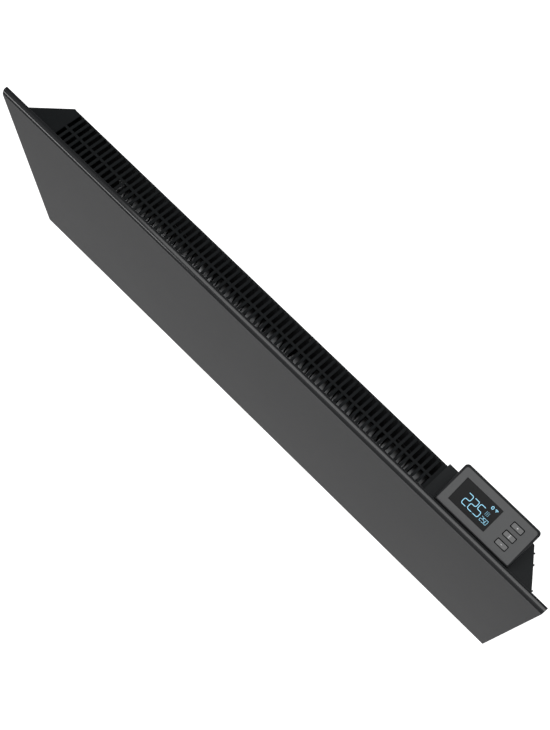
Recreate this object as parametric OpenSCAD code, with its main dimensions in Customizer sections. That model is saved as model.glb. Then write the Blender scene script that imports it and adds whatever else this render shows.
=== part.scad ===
// Low wall panel convector heater with a tilted thermostat on its right-hand end.
// Frame: origin on the wall, at the centre of the wall rail's screw holes.
// +X runs along the heater to the right, +Y into the wall, +Z up.

/* [Front panel] */
// Length of the front panel
panel_l = 1000; // [800:10:1400]
// Height of the front panel
panel_h = 244; // [220:1:400]
// Thickness of the front panel's sheet
panel_t = 1; // [0.8:0.1:1.2]
// Outer radius of the folds along the top and bottom edges
panel_fold_r = 8; // [5:0.5:8.5]
// Depth of the folded top and bottom edges, from the face
flange_d = 10.5; // [10.2:0.1:12]
// Height of the lip that ends each folded edge
flange_lip_h = 4; // [3:0.5:6]
// Outer radius of that lip's fold
flange_lip_r = 1.4; // [1.3:0.1:1.6]
// Depth of the closed side edges
side_d = 8.5; // [8:0.5:9]
// Free depth between the face and the casing
panel_gap = 6; // [5:0.5:8]

/* [Casing] */
// Depth from the panel's face to the casing's rear face
casing_d = 64.5; // [60:0.5:90]
// Distance from the panel's top and bottom edges to the casing
casing_set = 17.6; // [14:0.2:25]
// Gap between the casing's rear face and the wall
wall_gap = 21.5; // [20:0.5:30]
// Thickness of the casing's sheet
sheet_t = 1; // [0.8:0.1:1.1]
// Inner radius of the casing's folds
bend_r = 0.2; // [0.1:0.05:0.25]
// Height of the casing's front and rear lips
lip_h = 12; // [10:1:14]
// Inset of the left end from the panel's end, at the casing's front
end_inset_front = 16.1; // [12:0.1:24]
// Inset of the left end from the panel's end, at the casing's rear
end_inset_rear = 67.1; // [50:0.1:75]
// Radius of the casing's left rear corner, seen from above
end_corner_r = 3; // [2:0.5:5]
// Width of the end wall's front and rear flanges
end_flange = 12; // [10:1:15]

/* [Grille] */
// Width of one slot
slot_w = 6; // [4:0.5:7]
// Distance from slot to slot
slot_pitch = 10.05; // [9:0.05:14]
// Length of one slot
slot_l = 24.7; // [18:0.1:24.8]
// Width of the bar between the two rows
slot_mid = 3.6; // [3.5:0.1:6]
// Distance from the casing's rear face to the slots
slot_back = 1.3; // [1.3:0.1:2]
// Inset of the first slot from the panel's left end
slot_inset = 79.8; // [76:0.1:110]
// Plain strip between the last slot and the control base
slot_end = 5; // [4:0.5:12]

/* [Control base] */
// Distance from the panel's right end to the control base's seam
seam_inset = 214.7; // [205:0.1:230]
// Rise of the control base above and below the casing
base_rise = 4; // [3.5:0.1:5]
// Depth that the control base stands behind the casing's rear face
base_back = 1.9; // [1.8:0.1:3]
// Wall thickness of the control base's slanted end
base_wall = 2.5; // [2:0.1:3]
// Wall thickness of the control base's front
base_front = 2; // [1.8:0.1:2.5]
// Inset of the slanted end from the panel's end, at the casing's front
base_inset_front = 18.8; // [14:0.1:24]
// Inset of the slanted end from the panel's end, at the base's rear
base_inset_rear = 64.9; // [55:0.1:70]
// Radius of the control base's rear corner, seen from above
base_corner_r = 3; // [2:0.5:5]
// Length of the casing that reaches into the control base
lap_l = 8; // [6:0.5:10]
// Drop of the top's front strip at its front edge
strip_drop = 1.2; // [0.8:0.1:1.5]
// Depth of the sloping front strip
strip_d = 20; // [16:0.5:22]
// Width of the snap hooks on the slanted end
hook_nub_w = 1.5; // [1:0.1:2]

/* [Thermostat pod] */
// Distance from the panel's right end to the pod's centre
pod_inset = 133.3; // [130:0.1:136]
// Distance from the panel's face to the pod's front edge
pod_front_d = 12.9; // [12.5:0.1:14]
// Drop of the pod's front edge below the panel's top
pod_drop = 2.6; // [2:0.1:3]
// Tilt of the pod's face
pod_tilt = 32; // [28:0.5:34]
// Width of the pod at its front edge
pod_w_front = 125.6; // [125.5:0.1:127]
// Width of the pod at its rear edge
pod_w_rear = 126.5; // [125:0.1:128]
// Length of the pod's face, up the slope
pod_l = 58.6; // [58:0.1:60]
// Radius of the pod's rear corners
pod_rear_r = 5.5; // [4:0.5:7]
// Radius of the pod's front corners
pod_front_r = 1.2; // [1:0.1:2]
// Wall thickness of the pod
pod_wall = 2.2; // [2:0.1:2.5]
// Spread of the pod's side walls from the face down to the base
pod_flare = 1.5; // [1:0.1:2]
// Width of the face plate at its front edge
plate_w_front = 124.7; // [123:0.1:124.8]
// Width of the face plate at its rear edge
plate_w_rear = 121.3; // [119:0.1:122]
// Length of the face plate, up the slope
plate_l = 55.9; // [54:0.1:56]
// Thickness of the face plate
plate_t = 2; // [1.8:0.1:2.2]
// Radius of the face plate's rear corners
plate_rear_r = 3.5; // [2:0.5:5]
// Radius of the face plate's front corners
plate_front_r = 1; // [0.6:0.1:1.5]
// Width of the display window
window_w = 61.3; // [58:0.1:62]
// Height of the display window
window_h = 35.4; // [33:0.1:36]
// Offset of the window's centre from the pod's centre, to the left
window_off = 19.85; // [19:0.05:21]
// Distance from the face's front edge to the window
window_s = 10.5; // [9:0.5:12]
// Corner radius of the window
window_r = 1; // [0.5:0.1:2]
// Width of a button's hole
button_w = 18.7; // [17:0.1:20]
// Height of a button's hole
button_h = 8.7; // [8:0.1:9]
// Corner radius of a button's hole
button_r = 1.6; // [1.2:0.1:2]
// Offset of the buttons' column from the pod's centre, to the right
button_off = 37.6; // [36.5:0.1:39]
// Distance from the face's front edge to the middle button
button_s = 28.55; // [27.5:0.05:29.5]
// Distance from button to button
button_pitch = 13.75; // [12.75:0.25:14]
// Travel of a button
button_travel = 0.6; // [0.4:0.1:0.8]
// Gap around a button
button_gap = 0.4; // [0.3:0.05:0.5]
// Height that a button stands proud of the face plate
button_proud = 0.3; // [0.2:0.1:0.5]

/* [Heating element] */
// Distance from the panel's face to the element's axis
core_d = 36; // [35:0.5:37]
// Drop of the element's axis below the panel's top
core_drop = 86.6; // [80:0.2:100]
// Radius of the element's sheath
core_r = 4; // [3.5:0.1:4.5]
// Outer radius of the finned hub
hub_r = 6.2; // [6:0.1:7]
// Length of a fin from the axis to its tip
fin_l = 26.6; // [22:0.2:26.6]
// Thickness of a fin
fin_t = 1.6; // [1.2:0.1:2]
// Angle of the fins above and below the horizontal
fin_angle = 34; // [30:1:45]
// Distance from fin to fin
fin_pitch = 8.74; // [8:0.02:12]
// Gap between two fins at their roots
fin_gap_root = 1.5; // [1:0.1:2]
// Gap between two fins at their tips
fin_gap_tip = 3.4; // [2:0.1:4]
// Distance from the axis to the roots of the gaps
fin_root = 10; // [9:0.5:12]
// Inset of the first fin from the panel's left end
fin_inset = 160; // [140:1:200]
// Plain length between the last fin and the casing's right end
fin_end = 20; // [18:0.5:40]
// Radius of the ceramic bushes
bush_r = 6.5; // [6:0.1:7]
// Thickness of the element brackets
bracket_t = 1.2; // [1:0.1:1.5]
// Radius of the element brackets' round heads
bracket_r = 12; // [10:0.5:14]

/* [Wall rail] */
// Distance from the panel's top down to the rail's screw holes
rail_drop = 84; // [82:1:88]
// Distance from the panel's ends to the wall rail
rail_inset = 230; // [225:5:275]
// Height of the wall rail
rail_h = 40; // [34:1:44]
// Thickness of the wall rail
rail_t = 1.5; // [1.2:0.1:2]
// Gap between the wall rail and the casing
rail_gap = 1; // [0.8:0.1:1.5]
// Depth of the rail's lower flange
rail_lip = 8; // [6:0.5:12]
// Width of a hook
hook_w = 30; // [20:1:40]
// Height of a hook above the rail
hook_h = 8; // [6:0.5:10]
// Distance from the rail's ends to the middle of its hooks
hook_inset = 50; // [45:5:90]
// Distance from the rail's ends to the middle of its screw slots
screw_inset = 70; // [60:5:90]
// Distance between the two rows of screw holes
screw_rows = 18; // [14:1:20]
// Radius of a screw hole
screw_r = 2.75; // [2.5:0.05:3]
// Length of a screw slot
screw_slot = 12; // [9:0.5:14]
// Height that the heater is lifted to come off its hooks
lift = 9; // [8.5:0.5:11]
// Radius of the lower stand-offs
spacer_r = 10; // [8:0.5:13]
// Distance from the panel's ends to the lower stand-offs
spacer_inset = 270; // [260:5:300]
// Height of the lower stand-offs' centres above the casing's bottom
spacer_z = 32; // [28:1:40]

/* [Hidden] */

// Overrun of every cut past the face that it opens
over = 1;
// Gap between two pieces that are seated on each other
seat = 0.05;
// Gap between the casing and the control base around it
shell_gap = 0.1;
// Clearance of the hanging plate above and below its hooks
hang_gap = 0.3;
// Thickness of the thin slices that carry a blended shape
slice = 0.01;
// Steps in a rounded corner
arc_steps = 8;
// Chords of a sector that cuts a bend out of a ring
wedge_steps = 3;
// Facets of true circles
round_fn = 48;

left_x = -panel_l / 2;
right_x = panel_l / 2;
panel_top = rail_drop;
panel_bot = panel_top - panel_h;
front_y = -(wall_gap + casing_d);
casing_top = panel_top - casing_set;
casing_bot = panel_bot + casing_set;
casing_front = front_y + panel_t + panel_gap;
casing_back = -wall_gap;
seam_x = right_x - seam_inset;
casing_right = seam_x + lap_l;
plate_back = casing_back - sheet_t - seat;
plate_front = plate_back - sheet_t;

base_top = casing_top + base_rise;
base_bot = casing_bot - base_rise;
base_rear = casing_back + base_back;
cave_front = casing_front - shell_gap;
cave_rear = casing_back + shell_gap;
base_fore = cave_front - base_front;
end_slope = (end_inset_rear - end_inset_front) / (casing_back - casing_front);
base_slope = (base_inset_rear - base_inset_front) / (base_rear - casing_front);
base_lean = atan(base_slope);
partition_x = casing_right + seat;

pod_x = right_x - pod_inset;
pod_y = front_y + pod_front_d;
pod_z = panel_top - pod_drop;

core_y = front_y + core_d;
core_z = panel_top - core_drop;
fin_x = left_x + fin_inset;
fin_count = floor((casing_right - fin_end - fin_x) / fin_pitch);
fin_right = fin_x + fin_count * fin_pitch;
slot_run = seam_x - slot_end - left_x - slot_inset;
slot_count = floor((slot_run + slot_pitch - slot_w) / slot_pitch);

rail_l = panel_l - 2 * rail_inset;
hook_span = rail_l - 2 * hook_inset;
screw_span = rail_l - 2 * screw_inset;
spacer_span = panel_l - 2 * spacer_inset;
rail_top = rail_h / 2;
rail_bend_r = 0.5;
hook_clear = 0.5;
hook_side = 2;
hook_slot_low = rail_top - rail_t - lift - hang_gap;
rail_front = -(wall_gap - rail_gap);

// Screws of the casing
case_screw_r = 1.7;
case_screw_l = 6;
head_top_share = 0.7;
head_edge_share = 0.6;
case_head_r = 3.4;
case_head_h = 1.6;
case_screw_inset = 34;
case_screw_count = 4;
case_screw_span = seam_x - case_screw_inset - (left_x + end_inset_rear + case_screw_inset);

// Clips that carry the front panel
clip_w = 24;
clip_foot = 9;
clip_t = 1;
clip_r = 0.3;
clip_count = 3;

// Pressed ribs of the back plate
rib_w = 10;
rib_h = 1;
rib_l = 130;
rib_step = 36;

// Ceramic bushes
bush_collar_r = 8.5;
bush_collar_l = 3;
bush_tail_l = 3;
core_end_l = 8;
terminal_r = 1.2;
terminal_l = 9;

// Foot of an element bracket
foot_l = 14;

// Thermal cut-out
cutout_r = 8;
cutout_cap_l = 2.5;
cutout_body_l = 7;
cutout_ear_t = 0.8;
cutout_ear_l = 30;
cutout_ear_w = 9;
cutout_up = 26;
blade_w = 6.3;
blade_t = 0.8;
blade_l = 7;

// Power board and what stands on it
board_w = 96;
board_h = 84;
board_t = 1.6;
board_gap = 9;
board_clear = 2;
board_drop = 78;
board_boss_l = 6;
board_boss_r = 3.4;
board_screw_in = 5;
board_screw_r = 1.4;
board_screw_l = 5;
board_head_r = 2.6;
board_head_h = 1.8;
relay_size = [29, 15.5, 12.7];
transformer_size = [26, 20, 24];
capacitor_size = [18, 14, 8.5];
block_size = [38, 16, 15];
block_up = 18;
block_pole_count = 3;
block_pole_r = 3;
block_pole_d = 5;

// Cable gland
gland_x = 100;
gland_y = 46;
gland_bore = 3.7;
gland_shank_r = 6;
gland_collar_r = 8.5;
gland_collar_h = 6;
gland_inside = 9;
gland_nut_h = 4;
gland_round = 2;

// Room sensor
sensor_x = 80;
sensor_y = 30;
sensor_r = 3;
sensor_cap_r = 4.5;
sensor_cap_h = 3;
sensor_l = 12;

// Inside of the pod
ledge_t = 1.5;
ledge_w = 2.6;
rim_s = 0.4;
rim_gap = 0.1;
window_t = 1;
window_lip = 2;
window_sink = 0.2;
glass_gap = 0.1;
control_board_t = 1.6;
control_board_n = 8.6;
control_board_gap = 2.9;
control_board_w = min(pod_w_front, pod_w_rear) - 2 * (pod_wall + control_board_gap);
control_board_s0 = 5.5;
control_board_s1 = 46;
control_boss_r = 2.4;
stake_r = 1.1;
control_boss_in = 4;
module_in = 1.4;
switch_size = [6, 6, 3.4];
plunger_r = 1.7;
plunger_h = 0.7;
stem_r = 1.8;
stem_gap = 0.3;
cap_lip = 1;
cap_lip_t = 0.8;
cap_drop = 0.3;
pod_boss_r = 4;
pod_boss_l = 9;
pod_boss_off = 46;
pod_boss_in = 5.6;
pod_boss_gap = 1;
pod_screw_r = 1.5;
pod_screw_l = 10;
pod_head_r = 3;
pod_head_h = 2;
cable_hole_w = 40;
cable_hole_d = 14;

// Snap hooks on the slanted end, as places along it from front to rear
nub_places_share = [0.22, 0.66, 0.86];
nub_h = 9;

// Stand-offs
spacer_wall = 2.4;
spacer_flange = 4;
spacer_flange_t = 2;
spacer_pin_r = 3;
spacer_pin_l = 4;

function unit(v) = v / norm(v);
function heading(a, b) = atan2(b.y - a.y, b.x - a.x);
function wrap(angle) = ((angle + 540) % 360) - 180;

// Points of a rounded corner at p between its neighbours a and b
function arc_at(p, a, b, r) =
    let (
        u = unit(a - p),
        v = unit(b - p),
        half = acos(u * v) / 2,
        middle = p + unit(u + v) * r / sin(half),
        first = heading(middle, p + u * r / tan(half)),
        sweep = wrap(heading(middle, p + v * r / tan(half)) - first)
    )
    [for (i = [0 : arc_steps]) middle + r * [
        cos(first + sweep * i / arc_steps), sin(first + sweep * i / arc_steps)]];

// Outline with its corners rounded; a radius of zero leaves a corner sharp
function rounded(points, radii) = [
    for (i = [0 : len(points) - 1])
        each radii[i] > 0
            ? arc_at(points[i], points[(i + len(points) - 1) % len(points)],
                points[(i + 1) % len(points)], radii[i])
            : [points[i]]
];

// Turn of a path at its corner i, to the left when positive
function turn_at(points, i) =
    wrap(heading(points[i], points[i + 1]) - heading(points[i - 1], points[i]));

// Length that the bend at corner i takes from the straight runs beside it
function setback(points, i, thick, radii) =
    (turn_at(points, i) > 0 ? radii[i - 1] : radii[i - 1] + thick)
        * tan(abs(turn_at(points, i)) / 2);

// Corner i of the right face of a sheet whose left face runs along the points
function right_corner(points, i, thick) =
    let (
        u = unit(points[i] - points[i - 1]),
        v = unit(points[i + 1] - points[i]),
        across = [u.y + v.y, -u.x - v.x]
    )
    points[i] + thick * across / (1 + u * v);

// A sector from the X axis to an angle, cut off by chords outside the reach
module wedge(angle, reach) {
    polygon([
        [0, 0],
        for (k = [0 : wedge_steps]) reach * [
            cos(k * angle / wedge_steps), sin(k * angle / wedge_steps)]
    ]);
}

module bend(angle, thick, radius) {
    intersection() {
        difference() {
            circle(r = radius + thick, $fn = round_fn);
            circle(r = radius, $fn = round_fn);
        }
        wedge(abs(angle), 2 * (radius + thick));
    }
}

// Section of a folded sheet: points run along its left face, radii are the inner ones
module sheet(points, thick, radii) {
    last = len(points) - 1;
    for (i = [0 : last - 1]) {
        start = i == 0 ? 0 : setback(points, i, thick, radii);
        end = i == last - 1 ? 0 : setback(points, i + 1, thick, radii);
        run = norm(points[i + 1] - points[i]) - start - end;
        translate(points[i]) rotate(heading(points[i], points[i + 1])) {
            translate([start, -thick]) square([run, thick]);
            if (i > 0) {
                turn = turn_at(points, i);
                side = turn > 0 ? radii[i - 1] : -radii[i - 1] - thick;
                translate([start, side]) rotate(turn > 0 ? -90 - turn : 90)
                    bend(turn, thick, radii[i - 1]);
            }
        }
    }
}

module round_rect(w, h, r) {
    square([w - 2 * r, h], center = true);
    square([w, h - 2 * r], center = true);
    for (x = [-1, 1], y = [-1, 1]) {
        translate([x * (w / 2 - r), y * (h / 2 - r)]) circle(r = r, $fn = round_fn);
    }
}

// A slot with half-round ends, lying along X
module round_slot(length, r) {
    square([length - 2 * r, 2 * r], center = true);
    for (x = [-1, 1]) {
        translate([x * (length / 2 - r), 0]) circle(r = r, $fn = round_fn);
    }
}

// A section in the Y-Z plane, drawn out along X
module along_x(x, length) {
    translate([x, 0, 0]) rotate([90, 0, 90]) linear_extrude(length) children();
}

// A section in the X-Z plane, drawn out towards the room from y
module from_y(y, depth) {
    translate([0, y, 0]) rotate([90, 0, 0]) linear_extrude(depth) children();
}

// A section in the X-Y plane, drawn up from z
module from_z(z, height) {
    translate([0, 0, z]) linear_extrude(height) children();
}

// A round body on an axis along Y; its profile runs from y towards the room
module turned_y(x, y, z) {
    translate([x, y, z]) rotate([90, 0, 0]) rotate_extrude($fn = round_fn) children();
}

module rod_x(x, y, z, radius, length) {
    translate([x, y, z]) rotate([0, 90, 0]) cylinder(r = radius, h = length, $fn = round_fn);
}

module rod_y(x, y, z, radius, length) {
    translate([x, y, z]) rotate([90, 0, 0]) cylinder(r = radius, h = length, $fn = round_fn);
}

// The frame of the pod's tilted face: X along the pod, Y up the slope, Z out of the face
module on_pod() {
    translate([pod_x, pod_y, pod_z]) rotate([pod_tilt, 0, 0]) children();
}

/* Front panel */

module panel_section() {
    lip_end = flange_lip_r + flange_lip_h;
    back = front_y + flange_d;
    sheet([
        [back, panel_bot + lip_end], [back, panel_bot], [front_y, panel_bot],
        [front_y, panel_top], [back, panel_top], [back, panel_top - lip_end]
    ], panel_t, [
        flange_lip_r - panel_t, panel_fold_r - panel_t,
        panel_fold_r - panel_t, flange_lip_r - panel_t
    ]);
}

// The closed side edge follows the folds
module side_section() {
    back = front_y + side_d;
    polygon(rounded([
        [back, panel_bot], [front_y, panel_bot], [front_y, panel_top], [back, panel_top]
    ], [0, panel_fold_r, panel_fold_r, 0]));
}

module front_panel() {
    color([0.31, 0.32, 0.31]) {
        along_x(left_x, panel_l) panel_section();
        along_x(left_x, panel_t) side_section();
        along_x(right_x - panel_t, panel_t) side_section();
    }
}

// Section of a clip: its inner foot lies on the panel, its outer foot on the casing
module clip_section(outer) {
    inner = front_y + panel_t + seat;
    top = casing_top - clip_t;
    sheet([
        [inner + clip_t, top + clip_foot], [inner + clip_t, top],
        [outer, top], [outer, top - clip_foot]
    ], clip_t, [clip_r, clip_r]);
}

// A clip at the top edge and its mirror image at the bottom edge
module clip_pair(x, outer) {
    along_x(x - clip_w / 2, clip_w) clip_section(outer);
    upside_down() along_x(x - clip_w / 2, clip_w) clip_section(outer);
}

module panel_clips() {
    color([0.62, 0.63, 0.64]) {
        for (i = [0 : clip_count - 1]) {
            clip_pair(case_screw_x(i) + clip_w, casing_front - seat);
        }
        clip_pair(pod_x, base_fore - seat);
    }
}

/* Casing */

// Mirror image about the heater's middle height
module upside_down() {
    translate([0, 0, casing_top + casing_bot]) mirror([0, 0, 1]) children();
}

// Place of the left end's outer face at depth y, moved inwards by an inset
function end_x(y, inset) =
    left_x + end_inset_front + (y - casing_front) * end_slope + inset / cos(atan(end_slope));

// Plan of the casing with its left end moved inwards by an inset
module casing_plan(inset) {
    polygon(rounded([
        [casing_right, casing_front], [end_x(casing_front, inset), casing_front],
        [end_x(casing_back, inset), casing_back], [casing_right, casing_back]
    ], [0, 0, end_corner_r - inset, 0]));
}

module slot_rows() {
    for (i = [0 : slot_count - 1], row = [0, 1]) {
        translate([
            left_x + slot_inset + i * slot_pitch,
            casing_back - slot_back - slot_l - row * (slot_l + slot_mid)
        ]) square([slot_w, slot_l]);
    }
}

function case_screw_x(i) =
    left_x + end_inset_rear + case_screw_inset + i * case_screw_span / (case_screw_count - 1);

module case_screw_holes() {
    for (i = [0 : case_screw_count - 1]) {
        rod_y(case_screw_x(i), casing_back + over, casing_top - lip_h / 2,
            case_screw_r + seat, case_screw_l + 2 * over);
    }
}

module grille() {
    difference() {
        intersection() {
            along_x(left_x, casing_right - left_x) sheet([
                [casing_front, casing_top - lip_h], [casing_front, casing_top],
                [casing_back, casing_top], [casing_back, casing_top - lip_h]
            ], sheet_t, [bend_r, bend_r]);
            from_z(casing_top - lip_h - over, lip_h + 2 * over) casing_plan(sheet_t + seat);
        }
        from_z(casing_top - sheet_t - over, sheet_t + 2 * over) slot_rows();
        case_screw_holes();
    }
}

module top_grille() {
    color([0.13, 0.13, 0.14]) grille();
}

module intake_grille() {
    color([0.13, 0.13, 0.14]) upside_down() grille();
}

// Outline of one pressed rib
module rib_shape(x, z, inset) {
    translate([x, z]) round_slot(rib_l - 2 * inset, rib_w / 2 - inset);
}

module back_plate() {
    plate_left = left_x + end_inset_rear + end_corner_r;
    low = casing_bot + sheet_t + bend_r;
    high = casing_top - sheet_t - bend_r;
    color([0.45, 0.46, 0.47]) difference() {
        union() {
            from_y(plate_back, sheet_t)
                translate([plate_left, low]) square([casing_right - plate_left, high - low]);
            from_y(plate_front, rib_h) rib_rows(0);
        }
        from_y(plate_back + over, rib_h + over) rib_rows(sheet_t);
        for (side = [-1, 1]) {
            from_y(plate_back + over, sheet_t + 2 * over)
                translate([side * hook_span / 2 - hook_w / 2 - hook_side, hook_slot_low])
                square([hook_w + 2 * hook_side, rail_top + hang_gap - hook_slot_low]);
            rod_y(side * spacer_span / 2, plate_back + over, casing_bot + spacer_z,
                spacer_pin_r + seat, sheet_t + 2 * over);
        }
        case_screw_holes();
        upside_down() case_screw_holes();
    }
}

module rib_rows(inset) {
    for (i = [0 : case_screw_count - 2], row = [0, 1]) {
        rib_shape((case_screw_x(i) + case_screw_x(i + 1)) / 2,
            core_z - fin_l - row * rib_step, inset);
    }
}

// Plan of the end wall, with its folds at odd angles, between its front and rear flanges
module end_plan() {
    path = [
        [end_x(casing_front, 0) + end_flange, casing_front],
        [end_x(casing_front, 0), casing_front],
        [end_x(casing_back, 0), casing_back],
        [end_x(casing_back, 0) + end_flange, casing_back]
    ];
    polygon(rounded([
        each path, path[3] - [0, sheet_t], right_corner(path, 2, sheet_t),
        right_corner(path, 1, sheet_t), path[0] + [0, sheet_t]
    ], [0, bend_r + sheet_t, end_corner_r, 0, 0, end_corner_r - sheet_t, bend_r, 0]));
}

module end_wall() {
    color([0.14, 0.14, 0.15]) difference() {
        from_z(casing_bot, casing_top - casing_bot) end_plan();
        from_z(casing_top - lip_h - seat, lip_h + over) casing_plan(sheet_t);
        upside_down() from_z(casing_top - lip_h - seat, lip_h + over) casing_plan(sheet_t);
    }
}

module partition() {
    low = casing_bot - shell_gap + seat;
    high = casing_top + shell_gap - seat;
    color([0.62, 0.63, 0.64]) difference() {
        from_z(low, high - low) sheet([
            [partition_x, cave_front + seat], [partition_x, cave_rear - seat],
            [partition_x + end_flange, cave_rear - seat]
        ], sheet_t, [bend_r]);
        rod_x(partition_x - over, core_y, core_z, bush_r + seat, sheet_t + 2 * over);
        rod_x(partition_x - over, core_y, core_z + cutout_up,
            cutout_r + seat, sheet_t + 2 * over);
    }
}

// Profile of a pan-head screw, from the top of its head down its shank
module screw_profile(head_r, head_h, shank_r, shank_l) {
    polygon([
        [0, 0], [head_r * head_top_share, 0], [head_r, head_h * head_edge_share],
        [head_r, head_h], [shank_r, head_h], [shank_r, head_h + shank_l],
        [0, head_h + shank_l]
    ]);
}

module casing_screw(i) {
    turned_y(case_screw_x(i), casing_back + seat + case_head_h, casing_top - lip_h / 2)
        screw_profile(case_head_r, case_head_h, case_screw_r, case_screw_l);
}

module casing_screws() {
    color([0.7, 0.71, 0.72])
        for (i = [0 : case_screw_count - 1]) {
            casing_screw(i);
            upside_down() casing_screw(i);
        }
}

/* Heating element */

// One row of tapered fins, flat in the X-Y plane, with the element's axis along X
module fin_comb() {
    length = fin_count * fin_pitch;
    reach = fin_l - fin_root;
    spread = (fin_gap_tip - fin_gap_root) / reach;
    difference() {
        translate([0, core_r + seat]) square([length, fin_l - core_r - seat]);
        for (i = [1 : fin_count - 1]) {
            translate([i * fin_pitch, fin_root]) polygon([
                [-fin_gap_root / 2, 0], [fin_gap_root / 2, 0],
                [(fin_gap_root + spread * (reach + over)) / 2, reach + over],
                [-(fin_gap_root + spread * (reach + over)) / 2, reach + over]
            ]);
        }
    }
}

module heating_element() {
    color([0.78, 0.79, 0.8]) translate([fin_x, core_y, core_z]) difference() {
        union() {
            for (angle = [fin_angle, 180 - fin_angle, 180 + fin_angle, -fin_angle]) {
                rotate([angle, 0, 0]) linear_extrude(fin_t, center = true) fin_comb();
            }
            rod_x(0, 0, 0, hub_r, fin_count * fin_pitch);
        }
        rod_x(-over, 0, 0, core_r + seat, fin_count * fin_pitch + 2 * over);
    }
}

module element_core() {
    left = fin_x - bush_collar_l - bracket_t;
    right = partition_x + sheet_t + bush_tail_l + core_end_l;
    color([0.55, 0.53, 0.5]) {
        rod_x(left, core_y, core_z, core_r, right - left);
        for (side = [-1, 1]) {
            rod_x(right - over, core_y, core_z + side * core_r / 2,
                terminal_r, terminal_l + over);
        }
    }
}

// A ceramic bush along X: a collar at x, then a shank, with a bore for the sheath
module bush(shank_l) {
    rotate([0, 90, 0]) rotate_extrude($fn = round_fn) polygon([
        [core_r + seat, 0], [bush_collar_r, 0], [bush_collar_r, bush_collar_l],
        [bush_r, bush_collar_l], [bush_r, bush_collar_l + shank_l],
        [core_r + seat, bush_collar_l + shank_l]
    ]);
}

module bush_left() {
    color([0.92, 0.9, 0.85]) translate([fin_x - seat, core_y, core_z])
        mirror([1, 0, 0]) bush(bracket_t + bush_tail_l);
}

module bush_right() {
    start = fin_right + seat;
    color([0.92, 0.9, 0.85]) translate([start, core_y, core_z])
        bush(partition_x + sheet_t + bush_tail_l - start - bush_collar_l);
}

// Side view of an element bracket: a round head on an arm to the back plate
module bracket_shape() {
    difference() {
        union() {
            translate([core_y, core_z]) circle(r = bracket_r, $fn = round_fn);
            translate([core_y, core_z - bracket_r])
                square([plate_front - seat - core_y, 2 * bracket_r]);
        }
        translate([core_y, core_z]) circle(r = bush_r + seat, $fn = round_fn);
    }
}

// A bracket whose plate starts at x; its foot points to the right
module bracket(x) {
    intersection() {
        from_z(core_z - bracket_r, 2 * bracket_r) sheet([
            [x, core_y - bracket_r], [x, plate_front - seat], [x + foot_l, plate_front - seat]
        ], bracket_t, [bend_r]);
        along_x(x - over, foot_l + 2 * over) bracket_shape();
    }
}

module bracket_left() {
    x = fin_x - bush_collar_l - 2 * seat;
    color([0.66, 0.67, 0.68]) translate([2 * x, 0, 0]) mirror([1, 0, 0]) bracket(x);
}

module bracket_right() {
    color([0.66, 0.67, 0.68]) bracket(fin_right + bush_collar_l + 2 * seat);
}

module thermal_cutout() {
    z = core_z + cutout_up;
    face = partition_x - seat;
    color([0.75, 0.74, 0.7]) {
        along_x(face - cutout_ear_t, cutout_ear_t) translate([core_y, z]) difference() {
            rotate(90) round_slot(cutout_ear_l, cutout_ear_w / 2);
            for (side = [-1, 1]) {
                translate([0, side * (cutout_ear_l - cutout_ear_w) / 2])
                    circle(r = case_screw_r, $fn = round_fn);
            }
        }
        rod_x(face - cutout_ear_t - cutout_cap_l, core_y, z, cutout_r, cutout_cap_l + over / 2);
        rod_x(face - over / 2, core_y, z, cutout_r, cutout_body_l + over / 2);
        for (side = [-1, 1]) {
            along_x(face + cutout_body_l - over, blade_l + over)
                translate([core_y, z + side * cutout_r / 2])
                square([blade_w, blade_t], center = true);
        }
    }
}

/* Control base */

// Place of the slanted end's outer face at depth y, moved inwards by an inset
function base_x(y, inset) =
    right_x - base_inset_front - (y - casing_front) * base_slope - inset / cos(base_lean);

module base_plan() {
    polygon(rounded([
        [seam_x, base_fore], [base_x(base_fore, 0), base_fore],
        [base_x(base_rear, 0), base_rear], [seam_x, base_rear]
    ], [0, base_front / 2, base_corner_r, 0]));
}

module cave_plan() {
    polygon([
        [seam_x - over, cave_front], [base_x(cave_front, base_wall), cave_front],
        [base_x(cave_rear, base_wall), cave_rear], [seam_x - over, cave_rear]
    ]);
}

// The top's front strip, to the right of the pod, slopes down towards the panel
module strip_cut() {
    start = pod_x + pod_w_front / 2 + pod_flare;
    along_x(start, right_x - start) polygon([
        [base_fore + strip_d, base_top], [base_fore, base_top - strip_drop],
        [base_fore - over, base_top - strip_drop], [base_fore - over, base_top + over],
        [base_fore + strip_d, base_top + over]
    ]);
}

// Small snap hooks that stand out of the slanted end
module snap_hooks() {
    for (share = nub_places_share) {
        y = base_fore + share * (base_rear - base_fore);
        translate([base_x(y, 0), y, base_top - strip_drop - nub_h]) rotate([0, 0, base_lean])
            translate([-hook_nub_w / 2, -hook_nub_w / 2, 0])
            cube([2 * hook_nub_w, hook_nub_w, nub_h]);
    }
}

function board_left() = partition_x + end_flange + board_clear;
function board_mid_z() = casing_top - board_drop;

// Places of the power board's screws
function board_points() = [
    for (x = [board_screw_in, board_w - board_screw_in], side = [-1, 1])
        [board_left() + x, board_mid_z() + side * (board_h / 2 - board_screw_in)]
];

function gland_place() = [right_x - gland_x, front_y + gland_y];
function sensor_place() = [right_x - sensor_x, front_y + sensor_y];

// The pod's screws stay clear of the partition's flange and of the slanted end
function pod_boss_x(side) = side < 0
    ? max(pod_x - pod_boss_off, partition_x + end_flange + pod_boss_gap + pod_head_r)
    : min(pod_x + pod_boss_off, base_x(cave_rear, base_wall) - pod_boss_gap - pod_head_r);
function pod_boss_place(side) = [pod_boss_x(side), base_rear - pod_boss_in];

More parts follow.
